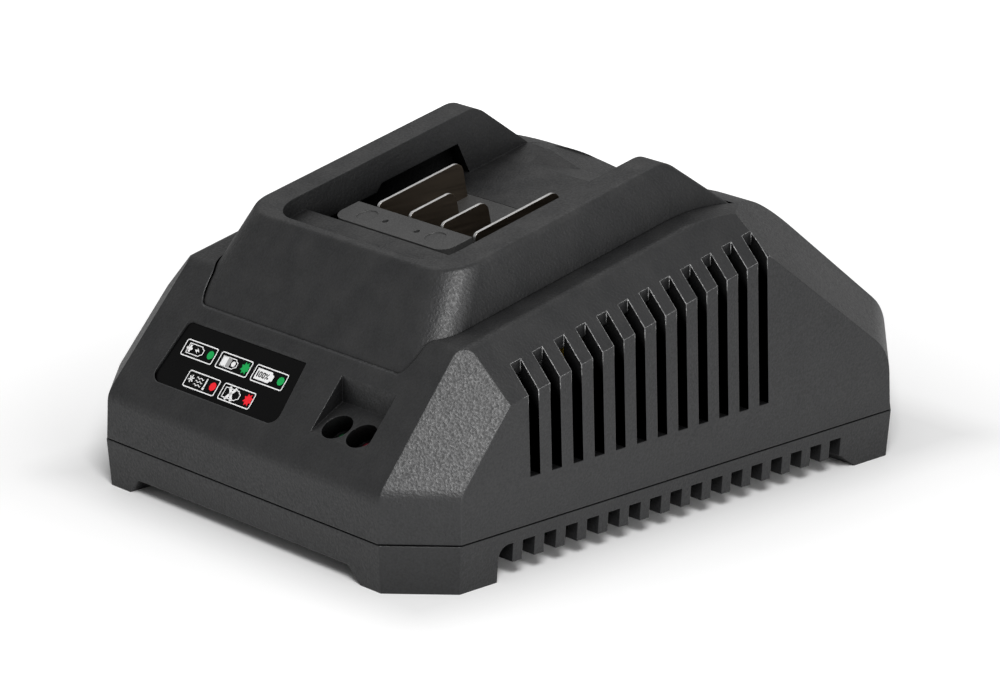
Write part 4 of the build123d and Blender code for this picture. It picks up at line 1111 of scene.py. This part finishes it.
    def _disc(self, shape: Shape, at: Point, radius: float, points: int = 24,
              notch: float = 1.0) -> None:
        """Add a round mark, or a burst when every second point is drawn in by notch.

        Args:
            shape: the flat print it goes into.
            at: its middle.
            radius: the mark's radius.
            points: number of corners.
            notch: reach of every second corner, times the radius.
        """
        ring = []
        for step in range(points):
            turn = math.tau * step / points
            reach = radius * (1.0 if step % 2 else notch)
            ring.append((at[0] + reach * math.cos(turn), at[1] + reach * math.sin(turn)))
        self._fill(shape, ring)

    def _mains_mark(self, shape: Shape, at: Point) -> None:
        """Mains connected: battery with a plus and a bolt.

        Args:
            shape: the flat print it goes into.
            at: lower left corner of the mark's frame.
        """
        self._battery(shape, moved(at, 1.5, 0.9))
        plus = moved(at, 2.4, 2.35)
        self._bar(shape, moved(plus, -1.3, 0), moved(plus, 0.9, 0), 0.65)
        self._bar(shape, moved(plus, 0, 0.325), moved(plus, 0, 1.0), 0.7)
        self._bar(shape, moved(plus, 0, -1.0), moved(plus, 0, -0.325), 0.7)
        bolt = ((0, 0.15), (1.0, 0.15), (0.75, 0.75), (2.0, -0.15), (1.0, -0.15), (1.25, -0.75))
        self._fill(shape, bolt, moved(at, 4.2, 2.35))

    def _charging_mark(self, shape: Shape, at: Point) -> None:
        """Charging: battery partly full.

        Args:
            shape: the flat print it goes into.
            at: lower left corner of the mark's frame.
        """
        corner = moved(at, 1.2, 0.85)
        self._battery(shape, corner)
        self._rounded(shape, corner, (2.1, 2.9), 0.1)
        self._disc(shape, moved(at, 5.8, 2.3), 0.75)

    def _full_mark(self, shape: Shape, at: Point) -> None:
        """Fully charged: solid battery."""
        solid = ((0, 0), (5.4, 0), (5.75, 0.5), (6.5, 0.8), (6.5, 2.2), (5.75, 2.5), (5.4, 3.0), (0, 3.0))
        self._fill(shape, solid, moved(at, 1.0, 0.8))

    def _temperature_mark(self, shape: Shape, at: Point) -> None:
        """Too hot or too cold: frost mark, waves and a thermometer.

        Args:
            shape: the flat print it goes into.
            at: lower left corner of the mark's frame.
        """
        frost = Vector(moved(at, 1.9, 2.5))
        for angle in (20, 80, 140):
            arm = Vector((math.cos(math.radians(angle)), math.sin(math.radians(angle)))) * 1.05
            self._bar(shape, tuple(frost - arm), tuple(frost + arm), 0.34)
        for step in (-0.95, 0.0, 0.95):
            self._wave(shape, moved(at, 3.6, 2.3 + step), 2.7, 0.24)
        self._rounded(shape, moved(at, 7.25, 1.1), (0.45, 2.8), 0.2)
        self._disc(shape, moved(at, 7.47, 1.1), 0.42, 16)

    def _fault_mark(self, shape: Shape, at: Point) -> None:
        """Fault: battery crossed out.

        Args:
            shape: the flat print it goes into.
            at: lower left corner of the mark's frame.
        """
        self._battery(shape, moved(at, 1.1, 0.85))
        cross = moved(at, 3.75, 2.3)
        for side in (-1, 1):
            self._bar(shape, moved(cross, -side * 1.25, -1.75), moved(cross, side * 1.25, 1.75), 0.85)

    def _print_white(self) -> Shape:
        """All white print of the label.

        Returns:
            The flat print.
        """
        shape = bmesh.new()
        places = (*self.top_row, *self.bottom_row)
        for at in places:
            self._outline(shape, at, (self.frame_width, self.frame_height), self.frame_round, self.line)
        marks = (self._mains_mark, self._charging_mark, self._full_mark, self._temperature_mark,
                 self._fault_mark)
        for mark, at in zip(marks, places):
            mark(shape, at)
        return shape

    def _print_figures(self) -> Shape:
        """Black "100%" on the solid battery.

        Returns:
            The flat print.
        """
        shape = bmesh.new()
        foot, high = moved(self.top_row[2], 1.45, 1.5), 1.6
        self._bar(shape, moved(foot, 0.25, 0), moved(foot, 0.25, high), 0.42)
        for start in (0.75, 2.0):
            self._outline(shape, moved(foot, start, 0), (1.05, high), 0.4, 0.34)
        self._bar(shape, moved(foot, 3.35, 0), moved(foot, 4.25, high), 0.28)
        for dot in ((3.4, 1.25), (4.2, 0.35)):
            self._disc(shape, moved(foot, *dot), 0.28, 12)
        return shape

    def _print_colour(self, places: Sequence[Point], flashing: Sequence[bool]) -> Shape:
        """Coloured marks at the right end of the frames; a flashing one is a burst.

        Args:
            places: lower left corners of the marks' frames.
            flashing: which marks are bursts.

        Returns:
            The flat print.
        """
        shape = bmesh.new()
        for at, burst in zip(places, flashing):
            centre = moved(at, 10.35, 2.4)
            if burst:
                self._disc(shape, centre, 1.75, 16, 0.62)
            else:
                self._disc(shape, centre, 1.15)
        return shape

    def build(self, frame: Frame, effects: SharedEffects) -> None:
        """Dress the label and print it.

        Args:
            frame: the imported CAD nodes.
            effects: the shared node groups.
        """
        frame.dress("indicator_label", self.film.build(effects))
        self._finish("label_print_white", self._print_white(), self.white, effects)
        self._finish("label_print_black", self._print_figures(), self.black, effects, layer=1)
        greys = bmesh.new()
        self._rounded(greys, moved(self.top_row[1], 3.3, 1.0), (1.4, 2.6), 0.05)
        self._finish("label_print_grey", greys, self.grey, effects)
        greens = self._print_colour(self.top_row, (False, True, False))
        self._finish("label_print_green", greens, self.green, effects)
        reds = self._print_colour(self.bottom_row, (False, True))
        self._finish("label_print_red", reds, self.red, effects)
        frame.dress("green_indicator_led", self.green_lens.build(effects))
        frame.dress("red_indicator_led", self.red_lens.build(effects))


@dataclass
class PowerSupply(Assembly):
    """Circuit boards and the components on them."""

    mask: SolderMask = SolderMask("solder_mask", (0.012, 0.095, 0.035), 0.28)
    ferrite: Epoxy = Epoxy("sintered_ferrite", (0.022, 0.022, 0.024), 0.6, grain_scale=1200.0)
    tape: Wound = Wound("winding_tape_yellow", (0.62, 0.42, 0.04), 0.3, Along.Z, 120.0, (0.30, 0.18, 0.015))
    sleeve: ShrinkSleeve = ShrinkSleeve("capacitor_sleeve_blue", (0.008, 0.014, 0.05), 0.25)
    sink: PlatedMetal = PlatedMetal("extruded_aluminium", (0.72, 0.73, 0.74), 0.35, Along.Z, 1400.0,
                                    (0.5, 0.5, 0.5), 0.25)
    device: Epoxy = Epoxy("device_epoxy", (0.016, 0.016, 0.017), 0.5)
    choke: Wound = Wound("enamelled_wire", (0.42, 0.12, 0.03), 0.22, Along.X, 1100.0)
    box: Epoxy = Epoxy("film_capacitor_box", (0.62, 0.46, 0.06), 0.38, grain_scale=1500.0, depth=0.00001)

    def build(self, frame: Frame, effects: SharedEffects) -> None:
        """Dress each board and component.

        Args:
            frame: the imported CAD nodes.
            effects: the shared node groups.
        """
        finishes = (
            (self.mask, ("indicator_board", "main_circuit_board")),
            (self.ferrite, ("transformer_core",)),
            (self.tape, ("transformer_coil",)),
            (self.sleeve, ("input_capacitor", "output_capacitors")),
            (self.sink, ("primary_heat_sink", "secondary_heat_sink")),
            (self.device, ("switching_transistor", "output_rectifier", "bridge_rectifier", "mains_fuse")),
            (self.choke, ("line_filter_choke",)),
            (self.box, ("filter_capacitor",)),
        )
        for finish, nodes in finishes:
            material = finish.build(effects)
            for node in nodes:
                frame.dress(node, material)


@dataclass
class CoolingFan(Assembly):
    """Frame, bearing and turning rotor of the fan behind the left louvres."""

    plastic: MouldedPlastic = MouldedPlastic("fan_black_plastic", (0.016, 0.016, 0.017), 0.4,
                                             grain_scale=2000.0, grain_depth=0.000015, dust=0.12)
    bronze: Epoxy = Epoxy("sintered_bronze", (0.45, 0.27, 0.10), 0.45, grain_scale=4000.0)
    steel: PlatedMetal = PlatedMetal("ground_steel", (0.6, 0.6, 0.6), 0.22, Along.X)

    def build(self, frame: Frame, effects: SharedEffects) -> None:
        """Dress the fan; the rotor and shaft already ride on the turning body.

        Args:
            frame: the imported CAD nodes.
            effects: the shared node groups.
        """
        plastic = self.plastic.build(effects)
        frame.dress("fan_frame", plastic)
        frame.dress("fan_rotor", plastic)
        frame.dress("fan_bearing", self.bronze.build(effects))
        frame.dress("fan_shaft", self.steel.build(effects))


@dataclass
class MainsSocket(Assembly):
    """Two-pole inlet in the back wall."""

    plastic: MouldedPlastic = MouldedPlastic("inlet_black_plastic", (0.014, 0.014, 0.015), 0.4,
                                             grain_scale=2600.0, grain_depth=0.00001)
    pins: PlatedMetal = PlatedMetal("pin_plating", (0.7, 0.68, 0.62), 0.25, Along.Y)

    def build(self, frame: Frame, effects: SharedEffects) -> None:
        """Dress the inlet and its pins."""
        frame.dress("mains_inlet", self.plastic.build(effects))
        frame.dress("inlet_pins", self.pins.build(effects))


@dataclass
class Fasteners(Assembly):
    """All screws."""

    zinc: PlatedMetal = PlatedMetal("zinc_plating", (0.58, 0.58, 0.6), 0.32, Along.Z, 2200.0,
                                    (0.42, 0.38, 0.28), 0.3)

    def build(self, frame: Frame, effects: SharedEffects) -> None:
        """Dress the screws.

        Args:
            frame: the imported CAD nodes.
            effects: the shared node groups.
        """
        material = self.zinc.build(effects)
        for node in ("housing_screws", "board_screws", "dock_screws"):
            frame.dress(node, material)


# ------------------------------------------------------------------ studio
def towards(azimuth: float, elevation: float) -> Vector:
    """Direction from the object.

    Args:
        azimuth: degrees, 0 in front and 90 on the right.
        elevation: degrees above the ground.

    Returns:
        The unit vector.
    """
    around, rise = math.radians(azimuth), math.radians(elevation)
    level = math.cos(rise)
    return Vector((math.sin(around) * level, -math.cos(around) * level, math.sin(rise)))


@dataclass(frozen=True)
class Softbox:
    """Square area lamp that looks at the object."""

    name: str
    azimuth: float       # degrees, 0 in front and 90 on the right
    elevation: float
    distance: float      # metres from the object
    size: float
    power: float

    def build(self, target: Vector) -> None:
        """Place the lamp.

        Args:
            target: the point it looks at.
        """
        data = bpy.data.lights.new(self.name, "AREA")
        data.energy = self.power
        data.size = self.size
        lamp = bpy.data.objects.new(self.name, data)
        back = towards(self.azimuth, self.elevation)
        lamp.location = target + back * self.distance
        lamp.rotation_euler = (-back).to_track_quat("-Z", "Y").to_euler()
        bpy.context.scene.collection.objects.link(lamp)


@dataclass(frozen=True)
class Studio:
    """Floor, soft light and camera."""

    eye: tuple[float, float, float] = (0.840, -0.7693, 0.4026)
    azimuth: float = 47.565
    elevation: float = 18.025
    lens: float = 169.07
    sensor: float = 36.0
    clip: Span = (0.05, 50.0)
    floor_half: float = 6.0
    middle: tuple[float, float, float] = (0.0, 0.0, 0.04)
    sky: float = 0.315
    floor: StageFloor = StageFloor("white_floor", (0.9, 0.9, 0.9), 0.9)
    lamps: tuple[Softbox, ...] = (
        Softbox("corner_softbox", 52.0, 45.0, 1.3, 0.42, 11.6),
        Softbox("right_softbox", 80.0, 14.0, 1.4, 0.8, 6.8),
        Softbox("front_softbox", -20.0, 12.0, 1.5, 0.8, 0.3),
        Softbox("left_rear_softbox", -128.0, 55.0, 1.5, 0.8, 1.6),
    )

    def _lay_floor(self, effects: SharedEffects) -> None:
        """Make the floor and mark it as no part of the object.

        Args:
            effects: the shared node groups.
        """
        shape = bmesh.new()
        bmesh.ops.create_grid(shape, x_segments=1, y_segments=1, size=self.floor_half)
        mesh = bpy.data.meshes.new("studio_floor")
        shape.to_mesh(mesh)
        shape.free()
        floor = bpy.data.objects.new("studio_floor", mesh)
        bpy.context.scene.collection.objects.link(floor)
        mesh.materials.append(self.floor.build(effects))

    def _light_room(self) -> None:
        """Give the room its even light and the lamps."""
        world = bpy.data.worlds.new("soft_room")
        world.use_nodes = True
        room = world.node_tree.nodes["Background"].inputs
        room["Color"].default_value = (*WHITE, 1.0)
        room["Strength"].default_value = self.sky
        bpy.context.scene.world = world
        for lamp in self.lamps:
            lamp.build(Vector(self.middle))

    def _place_camera(self) -> None:
        """Make the camera the scene's own."""
        data = bpy.data.cameras.new("product_camera")
        data.lens = self.lens
        data.sensor_width = self.sensor
        data.clip_start, data.clip_end = self.clip
        camera = bpy.data.objects.new("product_camera", data)
        camera.location = Vector(self.eye)
        looking = -towards(self.azimuth, self.elevation)
        camera.rotation_euler = looking.to_track_quat("-Z", "Y").to_euler()
        bpy.context.scene.collection.objects.link(camera)
        bpy.context.scene.camera = camera

    def build(self, effects: SharedEffects) -> None:
        """Make the floor, the light and the camera.

        Args:
            effects: the shared node groups.
        """
        bpy.context.scene.view_settings.view_transform = "Standard"
        self._lay_floor(effects)
        self._light_room()
        self._place_camera()


def main() -> None:
    """Build the charger around the CAD frame, then the studio."""
    logging.basicConfig(level=logging.INFO, format="%(name)s: %(message)s")
    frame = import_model()
    nodes = Frame(frame)
    effects = SharedEffects()
    for assembly in (Enclosure(), Dock(), IndicatorPanel(), PowerSupply(), CoolingFan(), MainsSocket(),
                     Fasteners()):
        assembly.build(nodes, effects)
        LOG.info("built %s", type(assembly).__name__)
    Studio().build(effects)


if __name__ == "__main__":
    main()
